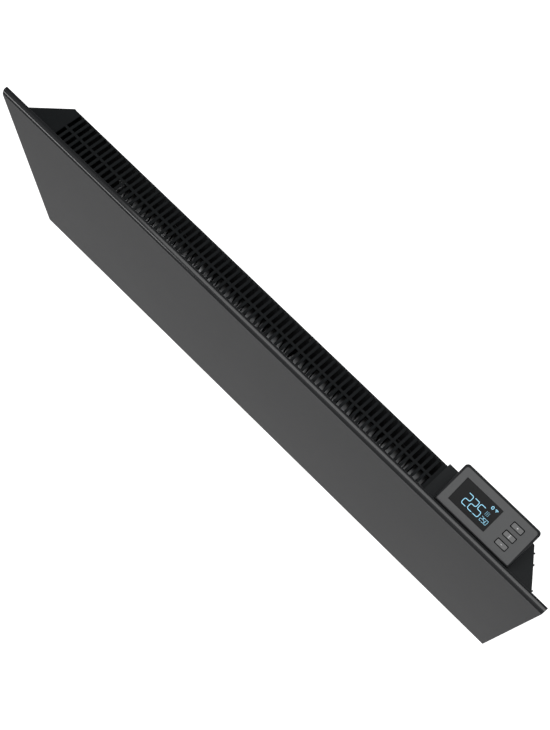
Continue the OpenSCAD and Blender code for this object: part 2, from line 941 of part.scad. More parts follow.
module control_base() {
    color([0.12, 0.12, 0.13]) difference() {
        union() {
            difference() {
                union() {
                    from_z(base_bot, base_top - base_bot) base_plan();
                    snap_hooks();
                }
                from_z(casing_bot - shell_gap, casing_top - casing_bot + 2 * shell_gap)
                    cave_plan();
            }
            for (p = board_points()) {
                rod_y(p.x, cave_rear + seat, p.y, board_boss_r, board_boss_l + seat);
            }
        }
        strip_cut();
        for (p = board_points()) {
            rod_y(p.x, cave_rear, p.y, board_screw_r + seat, board_boss_l + over);
        }
        translate([gland_place().x, gland_place().y, base_bot - over])
            cylinder(r = gland_shank_r + seat, h = base_rise + 2 * over, $fn = round_fn);
        translate([sensor_place().x, sensor_place().y, base_bot - over])
            cylinder(r = sensor_r + seat, h = base_rise + 2 * over, $fn = round_fn);
        from_z(casing_top, base_rise + over)
            translate([pod_x, (pod_y + base_rear) / 2])
            square([cable_hole_w, cable_hole_d], center = true);
        for (side = [-1, 1]) {
            translate([pod_boss_place(side).x, pod_boss_place(side).y, casing_top])
                cylinder(r = pod_screw_r + seat, h = base_rise + over, $fn = round_fn);
        }
    }
}

module power_board() {
    color([0.12, 0.35, 0.2])
        from_y(cave_rear - board_boss_l - seat, board_t) difference() {
            translate([board_left(), board_mid_z() - board_h / 2]) square([board_w, board_h]);
            for (p = board_points()) {
                translate(p) circle(r = board_screw_r + seat, $fn = round_fn);
            }
        }
}

// A block on the power board: its place from the board's left and bottom edges
module on_board(x, z, size) {
    from_y(cave_rear - board_boss_l - board_t - 2 * seat, size.z)
        translate([board_left() + x, board_mid_z() - board_h / 2 + z])
        square([size.x, size.y]);
}

module relay() {
    color([0.1, 0.25, 0.5]) on_board(board_w - board_gap - relay_size.x, board_gap, relay_size);
}

module transformer() {
    color([0.85, 0.7, 0.2])
        on_board(board_w - board_gap - transformer_size.x,
            board_h - board_gap - transformer_size.y, transformer_size);
}

module filter_capacitor() {
    color([0.8, 0.55, 0.1]) on_board(board_gap, board_gap, capacitor_size);
}

module terminal_block() {
    y = cave_rear - seat;
    low = casing_bot + block_up;
    color([0.85, 0.85, 0.82]) difference() {
        from_y(y, block_size.z) translate([board_left(), low])
            square([block_size.x, block_size.y]);
        for (i = [1 : block_pole_count]) {
            rod_y(board_left() + (i - 1 / 2) * block_size.x / block_pole_count,
                y - block_size.z + block_pole_d, low + block_size.y / 2,
                block_pole_r, block_pole_d + over);
        }
    }
}

module board_screws() {
    color([0.7, 0.71, 0.72])
        for (p = board_points()) {
            front = cave_rear - board_boss_l - board_t - 2 * seat - board_head_h;
            translate([p.x, front, p.y]) rotate([-90, 0, 0])
                rotate_extrude($fn = round_fn)
                screw_profile(board_head_r, board_head_h, board_screw_r, board_screw_l);
        }
}

module cable_gland() {
    top = base_rise + gland_inside;
    color([0.09, 0.09, 0.1]) translate([gland_place().x, gland_place().y, base_bot])
        rotate_extrude($fn = round_fn) polygon([
            [gland_bore, -gland_collar_h], [gland_collar_r - gland_round, -gland_collar_h],
            [gland_collar_r, gland_round - gland_collar_h], [gland_collar_r, -seat],
            [gland_shank_r, -seat], [gland_shank_r, top], [gland_bore, top]
        ]);
}

module gland_nut() {
    color([0.09, 0.09, 0.1])
        translate([gland_place().x, gland_place().y, casing_bot - shell_gap + seat])
        difference() {
            cylinder(r = gland_collar_r + gland_round, h = gland_nut_h, $fn = 6);
            translate([0, 0, -over])
                cylinder(r = gland_shank_r + seat, h = gland_nut_h + 2 * over, $fn = round_fn);
        }
}

module room_sensor() {
    color([0.1, 0.1, 0.11]) translate([sensor_place().x, sensor_place().y, base_bot - seat])
        rotate_extrude($fn = round_fn) polygon([
            [0, -sensor_cap_h], [sensor_r, -sensor_cap_h],
            [sensor_cap_r, -sensor_cap_h / 2], [sensor_cap_r, 0],
            [sensor_r, 0], [sensor_r, sensor_l], [0, sensor_l]
        ]);
}

/* Thermostat pod */

// Outline of the pod's face, drawn in by an inset
module pod_face(inset) {
    polygon(rounded([
        [inset - pod_w_front / 2, inset], [pod_w_front / 2 - inset, inset],
        [pod_w_rear / 2 - inset, pod_l - inset], [inset - pod_w_rear / 2, pod_l - inset]
    ], [pod_front_r, pod_front_r, pod_rear_r, pod_rear_r]));
}

// Outline of the pod's foot on the control base, drawn in by an inset
module pod_foot(inset) {
    side = pod_w_rear / 2 + pod_flare - inset;
    polygon(rounded([
        [pod_x - side, pod_y + inset], [pod_x + side, pod_y + inset],
        [pod_x + side, base_rear - rim_s - inset], [pod_x - side, base_rear - rim_s - inset]
    ], [pod_front_r, pod_front_r, pod_rear_r, pod_rear_r]));
}

// The pod's body, blended from its foot to its tilted face
module pod_body(inset, low) {
    hull() {
        on_pod() translate([0, 0, -slice]) linear_extrude(slice) pod_face(inset);
        from_z(low, slice) pod_foot(inset);
    }
}

// Outline of the face plate, grown or drawn in
module plate_face(inset) {
    near = rim_s + rim_gap + inset;
    far = rim_s + rim_gap + plate_l - inset;
    polygon(rounded([
        [inset - plate_w_front / 2, near], [plate_w_front / 2 - inset, near],
        [plate_w_rear / 2 - inset, far], [inset - plate_w_rear / 2, far]
    ], [plate_front_r, plate_front_r, plate_rear_r, plate_rear_r]));
}

module pod_housing() {
    under = plate_t + seat + ledge_t;
    color([0.14, 0.14, 0.15]) difference() {
        union() {
            difference() {
                pod_body(0, base_top + seat);
                intersection() {
                    pod_body(pod_wall, base_top - over);
                    on_pod() translate([-pod_w_rear, -pod_l, -pod_l - under])
                        cube([2 * pod_w_rear, 3 * pod_l, pod_l]);
                }
            }
            for (side = [-1, 1]) {
                translate([pod_boss_place(side).x, pod_boss_place(side).y, base_top + seat])
                    cylinder(r = pod_boss_r, h = pod_boss_l, $fn = round_fn);
            }
        }
        on_pod() translate([0, 0, -under - over]) linear_extrude(under + over)
            plate_face(ledge_w);
        on_pod() translate([0, 0, -plate_t - seat]) linear_extrude(plate_t + over)
            plate_face(-rim_gap);
        for (side = [-1, 1]) {
            translate([pod_boss_place(side).x, pod_boss_place(side).y, base_top - over])
                cylinder(r = pod_screw_r + seat, h = pod_boss_l + over, $fn = round_fn);
        }
    }
}

module pod_screws() {
    color([0.7, 0.71, 0.72])
        for (side = [-1, 1]) {
            translate([
                pod_boss_place(side).x, pod_boss_place(side).y,
                casing_top + shell_gap - seat - pod_head_h
            ]) rotate_extrude($fn = round_fn)
                screw_profile(pod_head_r, pod_head_h, pod_screw_r, pod_screw_l);
        }
}

function button_places() = [
    for (i = [-1 : 1]) [button_off, button_s + i * button_pitch]
];
function window_place() = [-window_off, window_s + window_h / 2];

// Places of the four stakes that carry the circuit board
function stake_places() = [
    for (x = [-1, 1], s = [control_board_s0 + control_boss_in, control_board_s1 - control_boss_in])
        [x * (control_board_w / 2 - control_boss_r), s]
];

module face_plate() {
    color([0.36, 0.37, 0.37]) on_pod() {
        translate([0, 0, -plate_t]) linear_extrude(plate_t) difference() {
            plate_face(0);
            translate(window_place()) round_rect(window_w, window_h, window_r);
            for (p = button_places()) {
                translate(p) round_rect(button_w, button_h, button_r);
            }
        }
        for (p = stake_places()) {
            translate([p.x, p.y, seat - control_board_n]) cylinder(r = control_boss_r,
                h = control_board_n - seat - plate_t / 2, $fn = round_fn);
            translate([p.x, p.y, -control_board_n - control_board_t - seat])
                cylinder(r = stake_r, h = control_board_n, $fn = round_fn);
        }
    }
}

module display_window() {
    color([0.02, 0.02, 0.03]) on_pod() translate(window_place()) {
        translate([0, 0, -plate_t - 2 * seat]) linear_extrude(plate_t + 2 * seat - window_sink)
            round_rect(window_w - 2 * glass_gap, window_h - 2 * glass_gap, window_r);
        translate([0, 0, -plate_t - seat - window_t]) linear_extrude(window_t)
            round_rect(window_w + 2 * window_lip, window_h + 2 * window_lip, window_r);
    }
}

module display_module() {
    top = -plate_t - 2 * seat - window_t;
    color([0.3, 0.32, 0.35]) on_pod() translate(window_place())
        translate([0, 0, seat - control_board_n]) linear_extrude(top + control_board_n - seat)
        round_rect(window_w - 2 * module_in, window_h - 2 * module_in, window_r);
}

module circuit_board() {
    color([0.1, 0.3, 0.2]) on_pod()
        translate([0, 0, -control_board_n - control_board_t]) linear_extrude(control_board_t)
        difference() {
            translate([-control_board_w / 2, control_board_s0])
                square([control_board_w, control_board_s1 - control_board_s0]);
            for (p = stake_places()) {
                translate(p) circle(r = stake_r + seat, $fn = round_fn);
            }
        }
}

module tact_switches() {
    color([0.2, 0.2, 0.21]) on_pod()
        for (p = button_places()) {
            translate([p.x, p.y, seat - control_board_n]) {
                linear_extrude(switch_size.z) square([switch_size.x, switch_size.y], center = true);
                cylinder(r = plunger_r, h = switch_size.z + plunger_h, $fn = round_fn);
            }
        }
}

// A button: a cap through the plate, a lip that holds it in, and a stem to its switch
module push_button(place) {
    lip_top = -plate_t - cap_drop;
    stem_end = seat - control_board_n + switch_size.z + plunger_h + button_travel + stem_gap;
    color([0.2, 0.2, 0.21]) on_pod() translate([place.x, place.y, 0]) {
        translate([0, 0, lip_top - cap_lip_t]) linear_extrude(button_proud - lip_top + cap_lip_t)
            round_rect(button_w - 2 * button_gap, button_h - 2 * button_gap,
                button_r - button_gap);
        translate([0, 0, lip_top - cap_lip_t]) linear_extrude(cap_lip_t)
            round_rect(button_w + 2 * cap_lip, button_h + 2 * cap_lip, button_r);
        translate([0, 0, stem_end]) cylinder(r = stem_r, h = lip_top - stem_end, $fn = round_fn);
    }
}

module button_plus() { push_button(button_places()[2]); }
module button_menu() { push_button(button_places()[1]); }
module button_minus() { push_button(button_places()[0]); }

/* Wall mounting */

module rail_hook(x) {
    outer = plate_front - hook_clear - rail_t;
    along_x(x - hook_w / 2, hook_w) sheet([
        [rail_front + rail_t, rail_top - rail_t], [outer, rail_top - rail_t],
        [outer, rail_top + hook_h]
    ], rail_t, [rail_bend_r]);
}

module wall_rail() {
    color([0.12, 0.12, 0.13]) {
        difference() {
            along_x(-rail_l / 2, rail_l) sheet([
                [rail_front, rail_top], [0, rail_top], [0, -rail_top], [-rail_lip, -rail_top]
            ], rail_t, [rail_bend_r, rail_bend_r]);
            for (x = [-1, 1], z = [-1, 1]) {
                from_y(over, rail_t + 2 * over)
                    translate([x * screw_span / 2, z * screw_rows / 2])
                    round_slot(screw_slot, screw_r);
            }
        }
        for (side = [-1, 1]) {
            rail_hook(side * hook_span / 2);
        }
    }
}

// A hollow stand-off between the back plate and the wall, open towards the wall
module spacer(x) {
    length = -plate_back - seat;
    color([0.12, 0.12, 0.13]) turned_y(x, 0, casing_bot + spacer_z) polygon([
        [spacer_r - spacer_wall, 0], [spacer_r, 0], [spacer_r, length - spacer_flange_t],
        [spacer_r + spacer_flange, length - spacer_flange_t], [spacer_r + spacer_flange, length],
        [spacer_pin_r, length], [spacer_pin_r, length + spacer_pin_l],
        [0, length + spacer_pin_l], [0, length - spacer_flange_t],
        [spacer_r - spacer_wall, length - spacer_flange_t]
    ]);
}

module spacer_left() { spacer(-spacer_span / 2); }
module spacer_right() { spacer(spacer_span / 2); }

front_panel();
panel_clips();
top_grille();
intake_grille();
back_plate();
end_wall();
partition();
casing_screws();
heating_element();
element_core();
bush_left();
bush_right();
bracket_left();
bracket_right();
thermal_cutout();
control_base();
power_board();
relay();
transformer();
filter_capacitor();
terminal_block();
board_screws();
cable_gland();
gland_nut();
room_sensor();
pod_housing();
pod_screws();
face_plate();
display_window();
display_module();
circuit_board();
tact_switches();
button_plus();
button_menu();
button_minus();
wall_rail();
spacer_left();
spacer_right();
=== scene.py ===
"""Looks of a low wall convector heater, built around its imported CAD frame.

The heater has a folded front panel, a black slotted casing with a finned element inside, a
moulded control base and a tilted thermostat pod. Every length is in metres, in the CAD frame:
the origin lies on the wall at the centre of the wall rail's screw slots, +X runs along the
heater, +Y into the wall and +Z up.
"""
import logging
import math
from dataclasses import dataclass
from enum import Enum
from typing import Callable, Iterable, Optional, Sequence, Union

import bmesh
import bpy
from mathutils import Matrix, Vector


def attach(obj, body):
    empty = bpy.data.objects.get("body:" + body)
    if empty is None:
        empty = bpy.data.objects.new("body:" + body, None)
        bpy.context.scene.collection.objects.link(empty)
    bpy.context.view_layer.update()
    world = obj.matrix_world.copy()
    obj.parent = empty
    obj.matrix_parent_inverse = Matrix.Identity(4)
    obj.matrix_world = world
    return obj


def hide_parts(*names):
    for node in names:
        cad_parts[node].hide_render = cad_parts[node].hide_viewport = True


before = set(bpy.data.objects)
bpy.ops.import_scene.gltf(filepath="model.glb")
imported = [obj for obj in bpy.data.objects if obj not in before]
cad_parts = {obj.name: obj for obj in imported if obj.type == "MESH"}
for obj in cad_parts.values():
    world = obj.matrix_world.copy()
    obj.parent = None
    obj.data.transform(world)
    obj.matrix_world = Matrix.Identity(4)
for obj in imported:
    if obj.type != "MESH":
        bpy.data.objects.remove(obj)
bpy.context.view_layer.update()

PHOTO_SIZE = (550, 730)

Colour = tuple[float, float, float]
Point2 = tuple[float, float]
Point3 = tuple[float, float, float]
Outline = list[Point2]
Line = tuple[Outline, float, bool]  # its path, its width and whether it closes
Loop = list[bmesh.types.BMVert]
Socket = bpy.types.NodeSocket
Value = Union[float, Sequence[float], Socket]
Span = tuple[float, float, float, float]  # a range and what it maps to

WHITE: Colour = (1.0, 1.0, 1.0)
MOST: Point2 = (0.3, 0.7)  # the range that holds most of a noise
PLAIN, SOFT, RICH = 1.0, 3.0, 4.0  # levels of finer grain in a noise
CORNER_STEPS = 8  # chords of a rounded corner
DIGIT_STEPS = 4  # chords of a digit's turn
TINY = 1e-9  # an edge shorter than this has no direction
LEAST_COSINE = 0.4  # keeps a mitre short where a path turns sharply
WELD = 0.00001  # doubled corners closer than this join
BEVEL_STEPS = 2
BEVEL_ANGLE = 40.0  # a node's edge is rounded from this angle, in degrees
CREASE = 35.0  # a piece's edge stays sharp from this angle, in degrees

log = logging.getLogger("heater")


# Material building

class Nodes:
    """A node tree, with short calls for the nodes that the finishes and the world share."""

    def __init__(self, tree: bpy.types.NodeTree) -> None:
        """Keeps the tree that the calls add to."""
        self.tree = tree

    def put(self, socket: Socket, value: Value) -> None:
        """Links or sets one input.

        Args:
            socket: the input.
            value: a number, a colour or another node's output.
        """
        if isinstance(value, Socket):
            self.tree.links.new(value, socket)
        else:
            socket.default_value = (*value, 1.0) if socket.type == "RGBA" else value

    def node(self, kind: str, settings: Optional[dict[str, object]] = None, *values: Value,
             **inputs: Value) -> bpy.types.Node:
        """Adds a node.

        Args:
            kind: the node's type name, after "ShaderNode".
            settings: the node's own properties.
            values: its inputs in use, in order.
            inputs: inputs by name, with an underscore for each space.

        Returns:
            The new node.
        """
        made = self.tree.nodes.new("ShaderNode" + kind)
        for name, value in (settings or {}).items():
            setattr(made, name, value)
        for socket, value in zip([socket for socket in made.inputs if socket.enabled], values):
            self.put(socket, value)
        for name, value in inputs.items():
            self.put(made.inputs[name.replace("_", " ")], value)
        return made

    def sums(self, kind: str, first: Value, second: Value = 0.0) -> Socket:
        """Returns the result of one step of arithmetic."""
        return self.node("Math", {"operation": kind}, first, second).outputs[0]

    def span(self, value: Value, low: float, high: float, to_low: Value = 0.0,
             to_high: Value = 1.0) -> Socket:
        """Returns a value with its range mapped smoothly onto another."""
        return self.node("MapRange", {"interpolation_type": "SMOOTHSTEP"}, value, low, high,
                         to_low, to_high).outputs["Result"]

    def split(self, vector: Socket) -> tuple[Socket, ...]:
        """Returns a vector's X, Y and Z."""
        return tuple(self.node("SeparateXYZ", None, vector).outputs)

    def mix(self, share: Value, first: Value, second: Value) -> Socket:
        """Returns a mixture of two colours, with the share of the second."""
        return self.node("Mix", {"data_type": "RGBA"}, share, first, second).outputs[2]


class Recipe(Nodes):
    """A material's node tree around its Principled shader."""

    def __init__(self, finish: "Finish") -> None:
        """Makes a finish's material.

        Args:
            finish: the finish.
        """
        self.material = bpy.data.materials.new(finish.name)
        self.material.use_nodes = True
        super().__init__(self.material.node_tree)
        self.shader = self.tree.nodes["Principled BSDF"]
        self.place: Socket = self.node("TexCoord").outputs["Object"]
        self.finish = finish
        self.shade(Roughness=finish.roughness, Specular_IOR_Level=finish.specular)
        finish.dress(self)

    def shade(self, **inputs: Value) -> None:
        """Sets inputs of the Principled shader, with an underscore for each space."""
        for name, value in inputs.items():
            self.put(self.shader.inputs[name.replace("_", " ")], value)

    def stretched(self, scale: Sequence[float]) -> Socket:
        """Returns the object's place scaled along each axis."""
        return self.node("Mapping", Vector=self.place, Scale=scale).outputs["Vector"]

    def noise(self, scale: float, detail: float = 2.0, at: Optional[Socket] = None) -> Socket:
        """Returns a noise from 0 to 1 of so many grains per metre and levels of finer grain."""
        place = at or self.place
        return self.node("TexNoise", Vector=place, Scale=scale, Detail=detail).outputs["Fac"]

    def cells(self, scale: float, output: str = "Distance") -> Socket:
        """Returns an output of a Voronoi pattern of so many cells per metre."""
        return self.node("TexVoronoi", Vector=self.place, Scale=scale).outputs[output]

    def relief(self, height: Socket) -> None:
        """Lets a height from 0 to 1 stand out of the surface, by the finish's depth."""
        made = self.node("Bump", Height=height, Strength=self.finish.strength,
                         Distance=self.finish.depth)
        self.shade(Normal=made.outputs["Normal"])


@dataclass(frozen=True)
class Finish:
    """A surface finish: its colour and gloss, and a procedural material made from them."""

    name: str
    colour: Colour
    roughness: float = 0.5
    specular: float = 0.5
    depth: float = 0.00002
    strength: float = 0.4
    shades: Point2 = (0.86, 1.1)
    glosses: Point2 = (0.94, 1.06)

    def material(self) -> bpy.types.Material:
        """Returns the finish's material, which is made once."""
        return bpy.data.materials.get(self.name) or Recipe(self).material

    def dress(self, tree: Recipe) -> None:
        """Adds the finish's own nodes; each kind of finish has its own."""
        raise NotImplementedError

    def tint(self, factor: float) -> Colour:
        """Returns the colour made lighter or darker by a factor."""
        return tuple(min(1.0, channel * factor) for channel in self.colour)

    def tints(self, tree: Recipe, share: Value, low: float, high: float) -> Socket:
        """Returns the colour made lighter or darker by one factor to another, by a share."""
        return tree.mix(share, self.tint(low), self.tint(high))

    def gloss(self, tree: Recipe, value: Socket, within: Point2 = MOST) -> Socket:
        """Returns the roughness times one of its factors to the other, by a value's range."""
        return tree.span(value, *within, *(self.roughness * factor for factor in self.glosses))


@dataclass(frozen=True)
class PowderCoat(Finish):
    """A baked powder coat: a fine orange peel, with a slight change of tone and gloss."""

    depth: float = 0.00003
    strength: float = 0.6
    grain: float = 900.0
    tone: float = 0.06
    cloud: float = 5.0
    finer: float = 2.2
    speckle: Span = (0.45, 0.75, 0.0, 0.5)
    speckle_tone: float = 3.0

    def dress(self, tree: Recipe) -> None:
        """Adds the coat's speckle, its clouds and its peel.

        Args:
            tree: the material.
        """
        cloud = tree.noise(self.cloud, SOFT)
        speckle = tree.span(tree.noise(self.grain * self.finer, PLAIN), *self.speckle)
        even = tree.mix(cloud, self.tone_at(tree, 1 - self.tone),
                        self.tone_at(tree, 1 + self.tone))
        light = self.tone_at(tree, 1 + self.speckle_tone * self.tone)
        tree.shade(Base_Color=tree.mix(speckle, even, light), Roughness=self.gloss(tree, cloud))
        tree.relief(tree.noise(self.grain))

    def tone_at(self, tree: Recipe, factor: float) -> Value:
        """Returns the coat's colour times a factor; a plain coat is even all over."""
        return self.tint(factor)


@dataclass(frozen=True)
class ShadeGradientCoat(PowderCoat):
    """A powder coat with painted shade: slightly lighter from its upper to its lower edge."""

    # painted shade: how much lighter the lower edge and darker the upper edge are painted
    painted_shade: float = 0.09
    low: float = -0.18
    high: float = 0.104

    def tone_at(self, tree: Recipe, factor: float) -> Value:
        """Returns the colour times a factor, with painted shade: lighter below, darker above."""
        share = tree.span(tree.split(tree.place)[2], self.low, self.high)
        return self.tints(tree, share, factor * (1 + self.painted_shade), factor * (1 - self.painted_shade))


@dataclass(frozen=True)
class BackCoat(PowderCoat):
    """The back plate's coat: matt on its inner side, with painted shade, lighter by the upper
    slots.
    """

    # painted shade on the inner side: its darkest and lightest factors, and where along Z and X it
    # turns
    shaded_inner: float = 0.065
    lit_inner: float = 0.82
    shade_z: float = 0.015
    lit_z: float = 0.064
    shade_x: float = -0.38
    lit_x: float = -0.28
    inner_roughness: float = 1.0
    side: float = 0.3

    def outward(self, tree: Recipe) -> Socket:
        """Returns 0 on the plate's inner side and 1 on its outer side."""
        normal = tree.node("TexCoord").outputs["Normal"]
        return tree.span(tree.split(normal)[1], -self.side, self.side)

    def painted_light_share(self, tree: Recipe) -> Socket:
        """Returns the inner side's share of painted light, from 0 in its shade to 1 by the slots.
        """
        along, _, up = tree.split(tree.place)
        return tree.sums("MULTIPLY", tree.span(along, self.shade_x, self.lit_x),
                         tree.span(up, self.shade_z, self.lit_z))

    def tone_at(self, tree: Recipe, factor: float) -> Value:
        """Returns the coat's colour times a factor, with painted shade on the inner side."""
        inner = self.tints(tree, self.painted_light_share(tree), factor * self.shaded_inner, factor * self.lit_inner)
        return tree.mix(self.outward(tree), inner, self.tint(factor))

    def gloss(self, tree: Recipe, value: Socket, within: Point2 = MOST) -> Socket:
        """Returns the coat's roughness, which is higher on the inner side."""
        return tree.span(self.outward(tree), 0.0, 1.0, self.inner_roughness, self.roughness)


@dataclass(frozen=True)
class Moulding(Finish):
    """Moulded plastic with a spark-eroded grain."""

    depth: float = 0.00004
    strength: float = 0.5
    glosses: Point2 = (0.9, 1.08)
    grain: float = 1500.0
    tone: float = 0.08
    cloud: float = 9.0
    pit: Point2 = (0.1, 0.6)
    coarser: float = 0.6

    def dress(self, tree: Recipe) -> None:
        """Adds the grain's pits and the faint flow clouds of the moulding.

        Args:
            tree: the material.
        """
        cloud = tree.noise(self.cloud, SOFT)
        pits = tree.cells(self.grain)
        tree.shade(Base_Color=self.tints(tree, cloud, 1 - self.tone, 1 + self.tone),
                   Roughness=self.gloss(tree, pits, self.pit))
        tree.relief(tree.sums("ADD", pits, tree.noise(self.grain * self.coarser)))


@dataclass(frozen=True)
class Metal(Finish):
    """Bare or plated metal with a grain that runs along one axis."""

    glosses: Point2 = (0.85, 1.2)
    stretch: Point3 = (6.0, 160.0, 160.0)
    line: float = 12.0
    spangle: float = 0.0
    flake: Span = (0.2, 0.8, 0.0, 0.35)
    flake_tone: float = 0.72

    def dress(self, tree: Recipe) -> None:
        """Adds the drawn lines, the spangle of the plating and the dull spots.

        Args:
            tree: the material.
        """
        lines = tree.noise(self.line, RICH, tree.stretched(self.stretch))
        tone = self.tints(tree, lines, *self.shades)
        if self.spangle:
            flakes = tree.cells(self.spangle, "Color")
            grey = tree.node("RGBToBW", Color=flakes).outputs["Val"]
            tone = tree.mix(tree.span(grey, *self.flake), tone, self.tint(self.flake_tone))
        tree.shade(Base_Color=tone, Metallic=1.0, Roughness=self.gloss(tree, lines))
        tree.relief(lines)


@dataclass(frozen=True)
class Laminate(Finish):
    """Solder mask over a laminate with copper tracks under it."""

    depth: float = 0.00003
    strength: float = 0.5
    track: Colour = (0.03, 0.2, 0.07)
    tracks: float = 120.0
    track_w: float = 0.045
    shift: float = 0.37
    field_tone: float = 0.9
    weave: float = 2400.0
    weave_share: Span = (0.4, 0.8, 0.0, 0.3)
    weave_tone: float = 0.6

    def dress(self, tree: Recipe) -> None:
        """Adds tracks that turn at right angles and the weave of the laminate.

        Args:
            tree: the material.
        """
        brick = tree.node("TexBrick", {"offset": self.shift}, Vector=tree.place,
                          Scale=self.tracks, Mortar_Size=self.track_w, Mortar=self.track,
                          Color1=self.colour, Color2=self.tint(self.field_tone))
        weave = tree.span(tree.noise(self.weave, PLAIN), *self.weave_share)
        dark = self.tint(self.weave_tone)
        tree.shade(Base_Color=tree.mix(weave, brick.outputs["Color"], dark))
        tree.relief(brick.outputs["Fac"])


@dataclass(frozen=True)
class Winding(Finish):
    """A taped and wound core: bands that run round it, with a lacquer on top."""

    depth: float = 0.0001
    strength: float = 0.6
    band: Colour = (0.5, 0.2, 0.06)
    bands: float = 90.0
    band_edge: Point2 = (0.35, 0.65)
    wobble: float = 0.8

    def dress(self, tree: Recipe) -> None:
        """Adds the bands of the winding and the creases of the tape.

        Args:
            tree: the material.
        """
        wave = tree.node("TexWave", {"bands_direction": "Z"}, Vector=tree.place,
                         Scale=self.bands, Distortion=self.wobble).outputs["Fac"]
        share = tree.span(wave, *self.band_edge)
        tree.shade(Base_Color=tree.mix(share, self.colour, self.band))
        tree.relief(wave)


@dataclass(frozen=True)
class HeatTint(Finish):
    """Stainless steel that heat has tinted straw and blue in slow bands."""

    straw: Colour = (0.42, 0.3, 0.16)
    blue: Colour = (0.16, 0.18, 0.26)
    straw_from: Point2 = (0.4, 0.55)
    blue_from: Point2 = (0.58, 0.68)
    slow: Point3 = (14.0, 3.0, 3.0)
    drawn: Point3 = (8.0, 180.0, 180.0)
    line: float = 12.0

    def dress(self, tree: Recipe) -> None:
        """Adds the bands of tint along the sheath and its drawn lines.

        Args:
            tree: the material.
        """
        slow = tree.noise(1.0, SOFT, tree.stretched(self.slow))
        warm = tree.mix(tree.span(slow, *self.straw_from), self.colour, self.straw)
        tree.shade(Base_Color=tree.mix(tree.span(slow, *self.blue_from), warm, self.blue),
                   Metallic=1.0)
        tree.relief(tree.noise(self.line, SOFT, tree.stretched(self.drawn)))


@dataclass(frozen=True)
class PaintedShadeFins(Finish):
    """Cast aluminium with painted shade: darker towards the wall and in the grooves between fins.
    """

    depth: float = 0.00004
    shades: Point2 = (0.85, 1.1)
    glosses: Point2 = (0.9, 1.15)
    metallic: float = 0.85
    # painted shade: its colour, and where across the element it turns from lit to dark
    shade_colour: Colour = (0.006, 0.006, 0.006)
    lit_y: float = -0.0430
    shaded_y: float = -0.0285
    patch: float = 60.0
    patch_y: float = 0.003
    first_groove: float = -0.34
    pitch: float = 0.00874
    groove_share: float = 0.14
    groove_soft: float = 0.08
    grain: float = 1400.0

    def dress(self, tree: Recipe) -> None:
        """Adds the painted shade by the wall and in the grooves, its patches and the casting's
        grain.

        Args:
            tree: the material.
        """
        along, across, _ = tree.split(tree.place)
        patch = tree.sums("MULTIPLY", tree.noise(self.patch, RICH), self.patch_y)
        wall_shade = tree.span(tree.sums("ADD", across, patch), self.lit_y, self.shaded_y)
        turn = tree.sums("DIVIDE", tree.sums("SUBTRACT", along, self.first_groove), self.pitch)
        middle = tree.sums("SUBTRACT", tree.sums("FRACT", turn), 0.5)
        lip = 0.5 - self.groove_share / 2
        groove_shade = tree.span(tree.sums("ABSOLUTE", middle), lip - self.groove_soft, lip)
        grain = tree.noise(self.grain, SOFT)
        unshaded = self.tints(tree, grain, *self.shades)
        dark = tree.sums("MAXIMUM", wall_shade, groove_shade)
        tree.shade(Base_Color=tree.mix(dark, unshaded, self.shade_colour), Metallic=self.metallic,
                   Roughness=self.gloss(tree, grain))
        tree.relief(grain)


@dataclass(frozen=True)
class Smoked(Finish):
    """The smoked display window: even and dark, with a faint haze and fine dust."""

    depth: float = 0.00001
    strength: float = 0.2
    shades: Point2 = (1.0, 1.15)
    haze: Colour = (0.02, 0.021, 0.022)
    dust: float = 3200.0
    dust_share: Span = (0.6, 0.85, 0.0, 0.35)
    cloud: float = 30.0

    def dress(self, tree: Recipe) -> None:
        """Adds the haze and the dust on the window.

        Args:
            tree: the material.
        """
        dust = tree.span(tree.noise(self.dust, PLAIN), *self.dust_share)
        cloud = tree.noise(self.cloud, SOFT)
        tree.shade(Base_Color=tree.mix(dust, self.tints(tree, cloud, *self.shades), self.haze))
        tree.relief(cloud)


@dataclass(frozen=True)
class Lit(Finish):
    """A lit display segment behind a thin diffuser."""

    depth: float = 0.00001
    strength: float = 0.2
    shades: Point2 = (0.93, 1.0)
    glow: float = 1.0
    unlit: float = 0.2
    grain: float = 1800.0

    def dress(self, tree: Recipe) -> None:
        """Adds the light of the segment and the diffuser's grain.

        Args:
            tree: the material.
        """
        grain = tree.noise(self.grain, PLAIN)
        lit = self.tints(tree, tree.span(grain, *MOST), *self.shades)
        tree.shade(Base_Color=self.tint(self.unlit), Emission_Strength=self.glow,
                   Emission_Color=lit)
        tree.relief(grain)


@dataclass(frozen=True)
class PaleFloor(Finish):
    """A pale floor that stays white to the camera and keeps a soft shadow."""

    glow: float = 0.92

    def dress(self, tree: Recipe) -> None:
        """Adds the light that only the camera sees."""
        seen = tree.node("LightPath").outputs["Is Camera Ray"]
        tree.shade(Base_Color=self.colour, Emission_Color=WHITE,
                   Emission_Strength=tree.sums("MULTIPLY", seen, self.glow))


